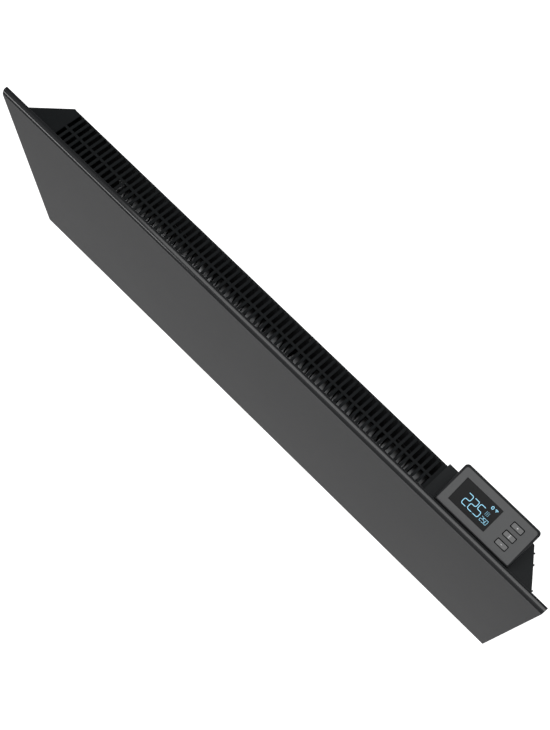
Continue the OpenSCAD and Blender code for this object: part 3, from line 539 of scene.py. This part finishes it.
class Finishes:
    """Every finish of the heater, and the floor's."""

    panel_face = ShadeGradientCoat("panel_face_coat", (0.0762, 0.0765, 0.0776), 0.62, 0.2, tone=0.02)
    panel_fold = PowderCoat("panel_fold_coat", (0.0085, 0.009, 0.0098), 0.15, 0.5,
                            grain=500.0, depth=0.000001, tone=0.03)
    panel_lip = PowderCoat("panel_lip_coat", (0.0095, 0.01, 0.0108), 0.6, 0.08)
    casing = PowderCoat("casing_black_coat", (0.0054, 0.0063, 0.0069), 0.5, 0.08)
    back = BackCoat("back_black_coat", (0.0195, 0.0206, 0.0223), 0.4, 0.2, tone=0.12)
    intake = PowderCoat("intake_black_coat", (0.003, 0.0033, 0.0036), 0.55, 0.05)
    zinc = Metal("zinc_plated_sheet", (0.5, 0.51, 0.52), 0.38, spangle=90.0)
    dull_zinc = Metal("dull_zinc_plated_clip", (0.2, 0.2, 0.21), 0.42, spangle=90.0)
    screw = Metal("zinc_plated_screw", (0.45, 0.46, 0.47), 0.32, stretch=(60.0, 60.0, 60.0))
    dark_screw = Metal("blackened_screw", (0.03, 0.03, 0.032), 0.36, stretch=(60.0, 60.0, 60.0))
    fin = PaintedShadeFins("cast_aluminium", (0.52, 0.53, 0.54), 0.5)
    sheath = HeatTint("heat_tinted_sheath", (0.35, 0.34, 0.32), 0.34)
    ceramic = Moulding("steatite_ceramic", (0.78, 0.75, 0.68), 0.7, 0.4, grain=900.0, tone=0.03)
    base = Moulding("base_black_plastic", (0.0084, 0.0095, 0.0103), 0.5, 0.15)
    pod = Moulding("pod_black_plastic", (0.011, 0.0116, 0.0125), 0.45, 0.2)
    bezel = Moulding("bezel_black_plastic", (0.011, 0.0116, 0.0125), 0.6, 0.12)
    plate = Moulding("plate_satin", (0.07, 0.0712, 0.0722), 0.55, 0.14, grain=2200.0,
                     depth=0.00001, tone=0.02)
    key = Moulding("key_satin", (0.108, 0.1088, 0.1094), 0.5, 0.2, grain=2200.0,
                   depth=0.00001, tone=0.02)
    # painted shade: the keys' sides and a thin rim round their tops, nearly black for the gap's
    # shade
    gap_shade = Moulding("painted_key_gap_shade", (0.004, 0.0042, 0.0045), 0.6, 0.06)
    window = Smoked("smoked_window", (0.0128, 0.013, 0.0133), 0.22, 0.05)
    glow = Lit("lit_segment", (0.31, 0.66, 0.86), 0.4, 0.1)
    dim = Lit("dim_segment", (0.31, 0.66, 0.86), 0.4, 0.1, glow=0.6)
    faint = Lit("faint_segment", (0.36, 0.72, 0.92), 0.4, 0.1, glow=0.18)
    mark = Lit("key_mark", (0.8, 0.81, 0.82), 0.5, 0.1, glow=0.4)
    module = Moulding("module_frame", (0.1, 0.11, 0.12), 0.5)
    board = Laminate("solder_mask", (0.02, 0.14, 0.05), 0.35)
    relay = Moulding("relay_case", (0.02, 0.08, 0.3), 0.4)
    core = Winding("taped_core", (0.6, 0.42, 0.05), 0.4)
    capacitor = Moulding("capacitor_case", (0.65, 0.25, 0.03), 0.3)
    block = Moulding("block_nylon", (0.7, 0.7, 0.66), 0.5)
    nylon = Moulding("black_nylon", (0.012, 0.012, 0.013), 0.45, 0.4)
    floor = PaleFloor("pale_floor", (0.3, 0.3, 0.3), 1.0, 0.0)


# Mesh building

def arc(centre: Point2, radii: Point2, start: float, sweep: float, steps: int) -> Outline:
    """Draws an arc of an ellipse.

    Args:
        centre: its centre.
        radii: its half-axes.
        start: its first angle, in degrees.
        sweep: the angle that it turns through, negative where it runs clockwise.
        steps: its chords.

    Returns:
        Its points, without a second first point where it closes.
    """
    angles = [math.radians(start + sweep * k / steps)
              for k in range(steps + (0 if sweep >= 360 else 1))]
    return [(centre[0] + radii[0] * math.cos(angle), centre[1] + radii[1] * math.sin(angle))
            for angle in angles]


def circle(radius: float, steps: int) -> Outline:
    """Returns a circle around the origin."""
    return arc((0.0, 0.0), (radius, radius), 0.0, 360.0, steps)


def rounded(points: Sequence[Point2], radii: Sequence[float],
            steps: Union[int, Sequence[int]] = CORNER_STEPS) -> Outline:
    """Rounds the corners of a closed outline.

    Args:
        points: its corners in order.
        radii: one radius for each corner; zero leaves it sharp.
        steps: the chords of a rounded corner, or of each one.

    Returns:
        The rounded outline.
    """
    made: Outline = []
    for i, (point, radius) in enumerate(zip(points, radii)):
        here = Vector(point)
        if radius <= 0:
            made.append(point)
            continue
        before = (Vector(points[i - 1]) - here).normalized()
        after = (Vector(points[(i + 1) % len(points)]) - here).normalized()
        half = before.angle(after) / 2
        middle = here + (before + after).normalized() * radius / math.sin(half)
        first = here + before * radius / math.tan(half) - middle
        last = here + after * radius / math.tan(half) - middle
        start = math.degrees(math.atan2(first.y, first.x))
        sweep = (math.degrees(math.atan2(last.y, last.x)) - start + 180) % 360 - 180
        made += arc(tuple(middle), (radius, radius), start, sweep,
                    steps if isinstance(steps, int) else steps[i])
    return made


def border(near_w: float, far_w: float, near: float, far: float, near_r: float,
           far_r: float) -> Outline:
    """Returns a four-sided outline with its near and far widths, places and corner radii."""
    x, far_x = near_w / 2, far_w / 2
    return rounded([(-x, near), (x, near), (far_x, far), (-far_x, far)],
                   [near_r, near_r, far_r, far_r])


def beside(path: Sequence[Point2], reach: float, closed: bool = True) -> Outline:
    """Moves a path to its left, and so an anticlockwise outline inwards.

    Args:
        path: the path's points.
        reach: how far it moves; a negative number moves it to its right.
        closed: whether the path ends where it starts.

    Returns:
        The moved path, with the same count of points.
    """
    made: Outline = []
    count = len(path)
    for i, point in enumerate(path):
        here = Vector(point)
        before = here - Vector(path[i - 1]) if i or closed else Vector((0.0, 0.0))
        after = Vector(path[(i + 1) % count]) - here if i < count - 1 or closed else before
        normals = [Vector((-edge.y, edge.x)).normalized() for edge in (before, after)
                   if edge.length > TINY]
        across = (normals[0] + normals[-1]).normalized()
        made.append(tuple(here + across * reach / max(LEAST_COSINE, across.dot(normals[0]))))
    return made


class Shape:
    """A mesh that grows by loops and stacks of outlines before it becomes a piece."""

    def __init__(self, place: Optional[Matrix] = None) -> None:
        """Starts an empty mesh, with the matrix from its own frame to the CAD frame."""
        self.mesh = bmesh.new()
        self.place = place or Matrix.Identity(4)

    def loop(self, points: Iterable[Sequence[float]]) -> Loop:
        """Adds points and returns their vertices."""
        return [self.mesh.verts.new(self.place @ Vector(p)) for p in points]

    def join(self, first: Loop, second: Loop, closed: bool = True,
             slot: Union[int, Callable[[int], int]] = 0) -> None:
        """Joins two loops of the same count with quads.

        Args:
            first: the first loop.
            second: the second loop.
            closed: whether the loops close.
            slot: the material slot, or a function that gives it for each side's number.
        """
        count = len(first)
        for i in range(count if closed else count - 1):
            k = (i + 1) % count
            face = self.mesh.faces.new((first[i], first[k], second[k], second[i]))
            face.material_index = slot(i) if callable(slot) else slot

    def stack(self, rings: Sequence[tuple[Outline, float]], slots: Sequence[int] = (),
              turn: Optional[Callable[[Point2, float], Point3]] = None) -> None:
        """Adds a closed body from outlines at rising heights.

        Args:
            rings: an outline and a height for each ring, with the same count of points.
            slots: the material slots of the floor, of each band and of the top.
            turn: how a point and a height become a place, or None for X, Y and Z.
        """
        lay = turn or (lambda p, h: (p[0], p[1], h))
        slots = slots or [0] * (len(rings) + 1)
        loops = [self.loop(lay(p, height) for p in outline) for outline, height in rings]
        for first, second, slot in zip(loops, loops[1:], slots[1:]):
            self.join(first, second, slot=slot)
        for cap, slot in ((loops[0][::-1], slots[0]), (loops[-1], slots[-1])):
            self.mesh.faces.new(cap).material_index = slot

    def tube(self, loops: Sequence[Loop], closed: bool = True) -> None:
        """Adds a bar whose long edges are loops, with ends where it doesn't close.

        Args:
            loops: the long edges, in order round the bar.
            closed: whether the bar ends where it starts.
        """
        for first, second in zip(loops, [*loops[1:], loops[0]]):
            self.join(first, second, closed)
        for i in () if closed else (0, -1):
            self.mesh.faces.new([edge[i] for edge in loops])

    def draw(self, lines: Iterable[Line], level: float, ink: float) -> None:
        """Adds thin lines that lie in a surface.

        Args:
            lines: the lines.
            level: the surface's height.
            ink: how far the lines stand out of it, and reach into it.
        """
        for path, width, closed in lines:
            self.tube([self.loop((x, y, level + n) for x, y in beside(path, reach / 2, closed))
                       for reach, n in ((width, -ink), (width, ink), (-width, ink),
                                        (-width, -ink))], closed)

    def piece(self, name: str, *finishes: Finish, crease: float = CREASE) -> bpy.types.Object:
        """Turns the mesh into an object.

        Args:
            name: the piece's name.
            finishes: its material slots in order.
            crease: the angle in degrees from which an edge stays sharp.

        Returns:
            The new object.
        """
        bmesh.ops.recalc_face_normals(self.mesh, faces=self.mesh.faces)
        sharp = math.radians(crease)
        for face in self.mesh.faces:
            face.smooth = True
        for edge in self.mesh.edges:
            edge.smooth = len(edge.link_faces) == 2 and edge.calc_face_angle() < sharp
        data = bpy.data.meshes.new(name)
        self.mesh.to_mesh(data)
        self.mesh.free()
        for finish in finishes:
            data.materials.append(finish.material())
        made = bpy.data.objects.new(name, data)
        bpy.context.scene.collection.objects.link(made)
        return made


def dress_node(node: str, finish: Finish, edge: float = 0.0) -> None:
    """Gives a CAD node its finish and rounds its sharp edges with modifiers.

    Args:
        node: the node's name.
        finish: the finish for all its slots.
        edge: the width of the rounding, or 0 for none.
    """
    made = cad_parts[node]
    for slot in made.material_slots:
        slot.material = finish.material()
    if edge:
        made.modifiers.new("weld", "WELD").merge_threshold = WELD
        bevel = made.modifiers.new("edge", "BEVEL")
        bevel.width = edge
        bevel.segments = BEVEL_STEPS
        bevel.limit_method = "ANGLE"
        bevel.angle_limit = math.radians(BEVEL_ANGLE)
        bevel.use_clamp_overlap = True
    log.info("node %s: %s", node, finish.name)


def seat_piece(piece: bpy.types.Object, body: str, slot: str, *nodes: str) -> None:
    """Ties a piece to its body and hides the nodes that it stands for.

    Args:
        piece: the piece.
        body: the CAD body that it rides on.
        slot: the record's material slot; not used.
        nodes: the CAD nodes that it replaces.
    """
    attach(piece, body)
    if nodes:
        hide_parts(*nodes)
    log.info("piece %s on %s", piece.name, body)


Dressing = Sequence[tuple[str, Finish]]  # CAD nodes, each with its finish


@dataclass
class DressedNodes:
    """A sub-assembly whose CAD nodes keep their shape, with finishes and rounded edges."""

    edge: float
    finishes: Dressing

    def build(self) -> None:
        """Dresses every node."""
        for node, finish in self.finishes:
            dress_node(node, finish, self.edge)


# Front panel

@dataclass
class FrontPanel:
    """The folded front panel: a grey face and dark rolled edges that end in a small lip."""

    left: float = -0.5
    right: float = 0.5
    top: float = 0.084
    bottom: float = -0.16
    face_y: float = -0.086
    flange_y: float = -0.0755
    side_y: float = -0.0775
    thick: float = 0.001
    fold_r: float = 0.008
    lip_r: float = 0.0014
    lip_h: float = 0.004
    fold_steps: int = 18
    face_steps: int = 4
    lip_steps: int = 6

    def skin(self, offset: float) -> Outline:
        """Returns the sheet's section from lip to lip.

        Args:
            offset: how far it lies inside the sheet's outer face.

        Returns:
            The section's Y and Z.
        """
        low, high = self.bottom + offset, self.top - offset
        front, back = self.face_y + offset, self.flange_y - offset
        small, large = self.lip_r - offset, self.fold_r - offset
        lip_end = self.lip_r + self.lip_h
        return rounded([(back, self.bottom + lip_end), (back, low), (front, low), (front, high),
                        (back, high), (back, self.top - lip_end)],
                       [0, small, large, large, small, 0],
                       [0, self.lip_steps, self.fold_steps, self.fold_steps, self.lip_steps, 0])

    def slot_of(self, side: int) -> int:
        """Returns the slot of a side of the section: 0 for the face, 1 a fold, 2 a lip."""
        beyond = min(side, 2 * (self.lip_steps + self.fold_steps) + 4 - side) - self.lip_steps
        return 2 if beyond <= 0 else int(beyond <= 1 + self.fold_steps - self.face_steps)

    def add_sheet(self, shape: Shape) -> None:
        """Adds the folded sheet, with the edges of its thickness.

        Args:
            shape: the shape that takes it.
        """
        (outer_a, inner_a), (outer_b, inner_b) = (
            [shape.loop((x, y, z) for y, z in self.skin(offset)) for offset in (0.0, self.thick)]
            for x in (self.left, self.right))
        shape.join(outer_a, outer_b, False, self.slot_of)
        for first, second in ((inner_b, inner_a), (outer_a, inner_a), (outer_b, inner_b)):
            shape.join(first, second, False, 1)
        for i in (0, -1):
            lip = shape.mesh.faces.new((outer_a[i], outer_b[i], inner_b[i], inner_a[i]))
            lip.material_index = 1

    def add_end_walls(self, shape: Shape) -> None:
        """Adds the flat wall that closes the sheet at each end.

        Args:
            shape: the shape that takes them.
        """
        low, high = self.bottom + self.thick, self.top - self.thick
        front, radius = self.face_y + self.thick, self.fold_r - self.thick
        wall = rounded([(self.side_y, low), (self.side_y, high), (front, high), (front, low)],
                       [0, 0, radius, radius], self.fold_steps)
        for x0, x1 in ((self.left, self.left + self.thick),
                       (self.right - self.thick, self.right)):
            shape.stack([(wall, x0), (wall, x1)], (1, 1, 1), lambda p, h: (h, p[0], p[1]))

    def build(self) -> None:
        """Builds the panel, stands it for the CAD panel and dresses its clips."""
        shape = Shape()
        self.add_sheet(shape)
        self.add_end_walls(shape)
        piece = shape.piece("front_panel_sheet", Finishes.panel_face, Finishes.panel_fold,
                            Finishes.panel_lip)
        seat_piece(piece, "heater", "panel_paint", "front_panel")
        dress_node("panel_clips", Finishes.dull_zinc)


# Casing

@dataclass(frozen=True)
class PanScrew:
    """A pan-head screw that points away from the wall, with a cross recess in its head."""

    head_r: float = 0.0034
    head_h: float = 0.0016
    dome: Sequence[Point2] = ((1.0, 0.0), (1.0, 0.35), (0.94, 0.62), (0.8, 0.85), (0.64, 1.0))
    shank_r: float = 0.0017
    shank_l: float = 0.006
    tip_share: float = 0.5
    recess_w: float = 0.0005
    recess_l: float = 0.0019
    recess_d: float = 0.0009
    recess_taper: float = 0.8
    thread_pitch: float = 0.001
    thread_h: float = 0.0002
    steps: int = 48

    def cross(self, share: float) -> Outline:
        """Returns the recess's outline, with a share of its arms' length left."""
        return [(x * reach, y * reach) for x, y in circle(1.0, self.steps) for reach in [
            min(self.recess_l * share / max(abs(x), abs(y)),
                self.recess_w / max(min(abs(x), abs(y)), TINY))]]

    def add(self, shape: Shape, seat: Point3) -> None:
        """Adds the screw.

        Args:
            shape: the shape that takes it.
            seat: the point under the middle of its head.
        """
        root = self.shank_r - self.thread_h
        sides = [(self.shank_r * self.tip_share, -self.shank_l),
                 (root, self.thread_pitch - self.shank_l)]
        for k in range(1, int(self.shank_l / self.thread_pitch)):
            crest = (k + 0.5) * self.thread_pitch - self.shank_l
            sides += [(self.shank_r, crest), (root, crest + self.thread_pitch / 2)]
        sides.append((root, 0.0))
        sides += [(self.head_r * radius, self.head_h * height) for radius, height in self.dome]
        rings = [(circle(radius, self.steps), height) for radius, height in sides]
        rings += [(self.cross(1.0), self.head_h),
                  (self.cross(self.recess_taper), self.head_h - self.recess_d)]
        shape.stack(rings, turn=lambda p, h: (seat[0] + p[0], seat[1] + h, seat[2] + p[1]))


@dataclass
class Casing(DressedNodes):
    """The black casing: two slotted grilles, the slanted end wall and the pressed back plate."""

    edge: float = 0.00025
    finishes: Dressing = (
        ("top_grille", Finishes.casing),
        ("end_wall", Finishes.casing),
        ("intake_grille", Finishes.intake),
        ("back_plate", Finishes.back),
    )
    screw_xs: Sequence[float] = (-0.3989, -0.1822, 0.0346, 0.2513)
    screw_zs: Sequence[float] = (0.0604, -0.1364)
    head_y: float = -0.02145
    screw: PanScrew = PanScrew()

    def build(self) -> None:
        """Dresses the casing's nodes and builds its screws."""
        super().build()
        dress_node("partition", Finishes.zinc)
        shape = Shape()
        for x in self.screw_xs:
            for z in self.screw_zs:
                self.screw.add(shape, (x, self.head_y, z))
        seat_piece(shape.piece("casing_screw_set", Finishes.dark_screw), "heater",
                   "screw_steel", "casing_screws")


@dataclass
class HeatingElement(DressedNodes):
    """The finned element on its two brackets, with its bushes and its thermal cut-out."""

    edge: float = 0.0002
    finishes: Dressing = (
        ("heating_element", Finishes.fin),
        ("element_core", Finishes.sheath),
        ("bush_left", Finishes.ceramic),
        ("bush_right", Finishes.ceramic),
        ("bracket_left", Finishes.zinc),
        ("bracket_right", Finishes.zinc),
        ("thermal_cutout", Finishes.sheath),
    )


@dataclass
class ControlBase(DressedNodes):
    """The moulded base with the power board, its parts, the gland and the room sensor."""

    edge: float = 0.0004
    finishes: Dressing = (
        ("control_base", Finishes.base),
        ("power_board", Finishes.board),
        ("relay", Finishes.relay),
        ("transformer", Finishes.core),
        ("filter_capacitor", Finishes.capacitor),
        ("terminal_block", Finishes.block),
        ("board_screws", Finishes.screw),
        ("cable_gland", Finishes.nylon),
        ("gland_nut", Finishes.nylon),
        ("room_sensor", Finishes.nylon),
    )


# Thermostat pod

ACROSS: Outline = [(-0.0012, 0.0), (0.0012, 0.0)]
UPRIGHT: Outline = [(0.0, -0.0012), (0.0, 0.0012)]
STRIPES: Sequence[Outline] = [[(-0.0013, y), (0.0013, y)] for y in (-0.0018, 0.0, 0.0018)]

DIGIT_PATHS: dict[str, Outline] = {
    "0": [(0, 0), (1, 0), (1, 1), (0, 1)],
    "2": [(0, 1), (1, 1), (1, 0.5), (0, 0.5), (0, 0), (1, 0)],
    "5": [(1, 1), (0, 1), (0, 0.5), (1, 0.5), (1, 0), (0, 0)],
}


class Key(Enum):
    """The three push keys: body, CAD node, place up the slope and the lines of the mark."""

    PLUS = ("plus_key", "button_plus", 0.0423, (ACROSS, UPRIGHT))
    MENU = ("menu_key", "button_menu", 0.02855, STRIPES)
    MINUS = ("minus_key", "button_minus", 0.0148, (ACROSS,))


@dataclass(frozen=True)
class Number:
    """A number in rounded strokes, placed by the lower left corner of its first digit."""

    text: str
    low: Point2
    size: Point2
    pitch: float
    width: float
    corner: float

    def lines(self) -> list[Line]:
        """Draws the digits, of which only a 0 closes.

        Returns:
            Their strokes.
        """
        made: list[Line] = []
        for i, letter in enumerate(self.text):
            closed = letter == "0"
            left = self.low[0] + i * self.pitch
            path = [(left + x * self.size[0], self.low[1] + y * self.size[1])
                    for x, y in DIGIT_PATHS[letter]]
            radii = [self.corner if closed or 0 < k < len(path) - 1 else 0
                     for k in range(len(path))]
            made.append((rounded(path, radii, DIGIT_STEPS), self.width, closed))
        return made


@dataclass(frozen=True)
class Arcs:
    """Thin arcs around one centre, drawn from one angle through a sweep, in degrees."""

    centre: Point2
    radii: Sequence[Point2]
    width: float
    start: float = 0.0
    sweep: float = 360.0
    steps: int = 12

    def lines(self) -> list[Line]:
        """Returns one line for each arc."""
        return [(arc(self.centre, pair, self.start, self.sweep, self.steps), self.width,
                 self.sweep >= 360) for pair in self.radii]


@dataclass(frozen=True)
class Waves:
    """Thin wavy lines that rise side by side and lean a little."""

    xs: Sequence[float] = (-0.0039, -0.0018, 0.0003)
    low: float = 0.0271
    rise: float = 0.00055
    lean: float = 0.0001
    swing: float = 0.00045
    half_wave: int = 5
    points: int = 11
    width: float = 0.00045

    def lines(self) -> list[Line]:
        """Returns one line for each wave."""
        return [([(x + self.lean * k + self.swing * math.sin(k * math.pi / self.half_wave),
                   self.low + self.rise * k) for k in range(self.points)], self.width, False)
                for x in self.xs]


@dataclass
class ThermostatPod:
    """The tilted pod: housing, grey face plate, smoked window with its reading, and three keys."""

    origin: Point3 = (0.3667, -0.0731, 0.0814)
    tilt: float = 32.0
    edge: float = 0.0004
    plate_edge: float = 0.0003
    plate_t: float = 0.002
    window_n: float = -0.0002
    key_u: float = 0.0376
    key_w: float = 0.0187
    key_h: float = 0.0087
    key_r: float = 0.0016
    key_gap: float = 0.0004
    key_proud: float = 0.0003
    key_edge: float = 0.0004
    edge_angles: Sequence[float] = (30, 60, 90)
    top_crease: float = 12.0
    gap_shade_w: float = 0.00085
    face_r: float = 0.0013
    mark_w: float = 0.0007
    lip: float = 0.001
    lip_t: float = 0.0008
    lip_drop: float = 0.0003
    stem_r: float = 0.0018
    stem_end: float = -0.00355
    stem_steps: int = 24
    ink: float = 0.00004
    bezel_n: float = 0.00012
    bezel_out: Sequence[float] = (0.125, 0.1259, 0.0003, 0.0583, 0.001, 0.0052)
    bezel_in: Sequence[float] = (0.1229, 0.1195, 0.0014, 0.0555, 0.0012, 0.0035)
    room: Number = Number("225", (-0.0352, 0.0181), (0.0075, 0.0156), 0.01, 0.00095, 0.0021)
    point: Arcs = Arcs((-0.0163, 0.0181), [(0.0003, 0.0003)], 0.0006)
    wanted: Number = Number("250", (-0.0042, 0.0178), (0.0030, 0.0061), 0.0039, 0.00048, 0.0007)
    ring: Arcs = Arcs((-0.0018, 0.0398), [(0.0015, 0.0018)], 0.0009, steps=24)
    fan: Arcs = Arcs((0.0044, 0.0379), [(r, r) for r in (0.0008, 0.0021, 0.0034)], 0.0008,
                     50.0, 80.0)
    heat: Waves = Waves()

    @property
    def place(self) -> Matrix:
        """The matrix from the pod's face to the CAD frame."""
        return (Matrix.Translation(self.origin)
                @ Matrix.Rotation(math.radians(self.tilt), 4, "X"))

    def build(self) -> None:
        """Dresses the pod's nodes and builds its bezel, its keys and its reading."""
        dress_node("pod_housing", Finishes.pod, self.edge)
        dress_node("face_plate", Finishes.plate, self.plate_edge)
        for node, finish in (
                ("pod_screws", Finishes.screw), ("display_window", Finishes.window),
                ("display_module", Finishes.module), ("circuit_board", Finishes.board),
                ("tact_switches", Finishes.nylon)):
            dress_node(node, finish)
        self.build_bezel()
        for key in Key:
            self.build_key(key)
        for name, finish, sign in (
                ("reading_room", Finishes.glow, self.room),
                ("reading_point", Finishes.faint, self.point),
                ("reading_set", Finishes.glow, self.wanted),
                ("sign_ring", Finishes.glow, self.ring),
                ("sign_fan", Finishes.glow, self.fan),
                ("sign_heat", Finishes.dim, self.heat)):
            shape = Shape(self.place)
            shape.draw(sign.lines(), self.window_n, self.ink)
            seat_piece(shape.piece(name, finish), "heater", "window_black")

    def build_bezel(self) -> None:
        """Builds the thin dark bezel that frames the face plate."""
        shape = Shape(self.place)
        rise, outer, inner = self.bezel_n, border(*self.bezel_out), border(*self.bezel_in)
        shape.tube([shape.loop((x, y, n) for x, y in outline) for outline, n in (
            (outer, -rise), (outer, 0.0), (beside(outer, rise), rise),
            (beside(inner, -rise), rise), (inner, 0.0), (inner, -rise))])
        seat_piece(shape.piece("pod_bezel", Finishes.bezel), "heater", "base_plastic")

    def key_outline(self, grow: float, radius: float) -> Outline:
        """Returns a key's outline, grown by a length on every side."""
        width, far = self.key_w + 2 * grow, self.key_h / 2 + grow
        return border(width, width, -far, far, radius, radius)

    def build_key(self, key: Key) -> None:
        """Builds one push key and its mark.

        Args:
            key: which key.
        """
        body, node, up, mark = key.value
        at = self.place @ Matrix.Translation((self.key_u, up, 0))
        shape = Shape(at)
        cap = self.key_outline(-self.key_gap, self.key_r - self.key_gap)
        foot = self.key_outline(self.lip, self.key_r)
        face = self.key_outline(-self.key_gap - self.gap_shade_w, self.face_r)
        lip_top = -self.plate_t - self.lip_drop
        rim = self.key_proud - self.key_edge
        rings = [(cap, lip_top), (cap, rim)]
        for angle in map(math.radians, self.edge_angles):
            rings.append((beside(cap, self.key_edge * (1 - math.cos(angle))),
                          rim + self.key_edge * math.sin(angle)))
        rings.append((face, self.key_proud))
        # the sides, the rounded edge and a thin rim of the top take the painted gap shade; the
        # top's middle is grey
        shape.stack(rings, [1] * len(rings) + [0])
        shape.stack([(foot, lip_top - self.lip_t), (foot, lip_top)], (1, 1, 1))
        stem = circle(self.stem_r, self.stem_steps)
        shape.stack([(stem, self.stem_end), (stem, lip_top)])
        piece = shape.piece(node + "_cap", Finishes.key, Finishes.gap_shade, crease=self.top_crease)
        seat_piece(piece, body, "button_grey", node)
        shape = Shape(at)
        shape.draw([(path, self.mark_w, False) for path in mark], self.key_proud, self.ink)
        seat_piece(shape.piece(node + "_mark", Finishes.mark), body, "button_grey")


# Wall mounting

@dataclass
class WallMounting(DressedNodes):
    """The wall rail and the two lower stand-offs."""

    edge: float = 0.0003
    finishes: Dressing = (
        ("wall_rail", Finishes.back),
        ("spacer_left", Finishes.nylon),
        ("spacer_right", Finishes.nylon),
    )


# Studio

@dataclass(frozen=True)
class Softbox:
    """A soft lamp: a rectangle that the camera doesn't see."""

    name: str
    at: Point3
    aim: Point3
    size: Point2
    glow: float
    mirrored: bool = True

    def build(self) -> None:
        """Hangs the lamp, with its power set from the glow of its face."""
        data = bpy.data.lights.new(self.name, "AREA")
        data.shape = "RECTANGLE"
        data.size, data.size_y = self.size
        data.energy = self.glow * math.pi * self.size[0] * self.size[1]
        lamp = bpy.data.objects.new(self.name, data)
        lamp.location = self.at
        beam = Vector(self.aim) - Vector(self.at)
        lamp.rotation_euler = beam.to_track_quat("-Z", "Y").to_euler()
        lamp.visible_camera = False
        lamp.visible_glossy = self.mirrored
        bpy.context.scene.collection.objects.link(lamp)


Region = Sequence[tuple[int, float, float, float, float]]  # axis, range and its two levels


@dataclass
class Studio:
    """The camera, the pale floor and the soft light."""

    camera_at: Point3 = (0.37385911, -0.4575794, 0.91356578)
    camera_turn: Point3 = (12.55079047, -5.67345403, 44.90908612)
    lens: float = 35.2
    sensor: float = 36.0
    clip: Point2 = (0.01, 100.0)
    optical_centre: Point2 = (325.0, 600.0)
    floor_z: float = -0.42
    floor_half: float = 14.0
    lamps: Sequence[Softbox] = (
        Softbox("ceiling_softbox", (-0.13, -0.46, 1.7), (-0.13, -0.46, 0.0), (2.42, 1.48), 2.15),
        Softbox("left_softbox", (-1.53, -1.36, 0.68), (-1.26, 0.0, 0.52), (1.0, 0.32), 5.6),
        Softbox("front_softbox", (0.5, -3.0, 1.1), (0.1, -0.08, -0.05), (3.0, 1.4), 2.1, False),
        Softbox("rear_softbox", (0.9, 2.6, 1.0), (0.0, 0.0, -0.05), (3.2, 1.8), 2.4),
    )
    ambient: float = 0.7
    mirror_dark: float = 0.07
    mirror_front: Region = (
        (0, -0.8, -0.4, 0.15, 1.0), (1, -0.25, 0.15, 1.0, 0.0), (2, 0.3, 0.75, 0.22, 0.6))
    mirror_rear: Region = ((1, 0.4, 0.75, 0.0, 1.0), (2, 0.3, 0.6, 0.9, 0.0))

    def build_camera(self) -> None:
        """Sets up the camera of the photograph."""
        width, height = PHOTO_SIZE
        data = bpy.data.cameras.new("photo_camera")
        data.sensor_width = self.sensor
        data.lens = self.lens
        data.shift_x = (width / 2 - self.optical_centre[0]) / height
        data.shift_y = (self.optical_centre[1] - height / 2) / height
        data.clip_start, data.clip_end = self.clip
        camera = bpy.data.objects.new("photo_camera", data)
        camera.location = self.camera_at
        camera.rotation_euler = [math.radians(angle) for angle in self.camera_turn]
        bpy.context.scene.collection.objects.link(camera)
        bpy.context.scene.camera = camera

    def build_floor(self) -> None:
        """Lays the pale floor."""
        shape = Shape()
        half = self.floor_half
        shape.mesh.faces.new(shape.loop((x * half, y * half, self.floor_z) for x, y in (
            (-1, -1), (1, -1), (1, 1), (-1, 1))))
        floor = shape.piece("floor", Finishes.floor)

    def build_world(self) -> None:
        """Makes the background white to the camera and a plain soft light to the heater."""
        world = bpy.data.worlds.new("studio")
        bpy.context.scene.world = world
        world.use_nodes = True
        sky = Nodes(world.node_tree)
        paths = sky.node("LightPath").outputs
        level = sky.span(paths["Is Glossy Ray"], 0.0, 1.0, self.ambient, self.mirror_level(sky))
        for ray in ("Is Transmission Ray", "Is Camera Ray"):
            level = sky.span(paths[ray], 0.0, 1.0, level, 1.0)
        back = world.node_tree.nodes["Background"]
        sky.put(back.inputs["Strength"], level)
        sky.put(back.inputs["Color"], WHITE)

    def mirror_level(self, sky: Nodes) -> Value:
        """Makes the room that a gloss mirrors: pale in front and low behind, dark elsewhere.

        Args:
            sky: the world's nodes.

        Returns:
            The level of light in each direction.
        """
        parts = sky.split(sky.node("TexCoord").outputs["Generated"])
        total: Value = self.mirror_dark
        for region in (self.mirror_front, self.mirror_rear):
            share: Value = 1.0
            for axis, *bounds in region:
                share = sky.sums("MULTIPLY", share, sky.span(parts[axis], *bounds))
            total = sky.sums("ADD", total, share)
        return total

    def build(self) -> None:
        """Builds the whole studio."""
        self.build_camera()
        self.build_floor()
        self.build_world()
        for lamp in self.lamps:
            lamp.build()
        bpy.context.scene.view_settings.view_transform = "Standard"
        log.info("studio ready")


def main() -> None:
    """Builds the studio and every sub-assembly."""
    logging.basicConfig(level=logging.INFO, format="%(name)s: %(message)s")
    Studio().build()
    for part in (FrontPanel(), Casing(), HeatingElement(), ControlBase(), ThermostatPod(),
                 WallMounting()):
        part.build()


if __name__ == "__main__":
    main()
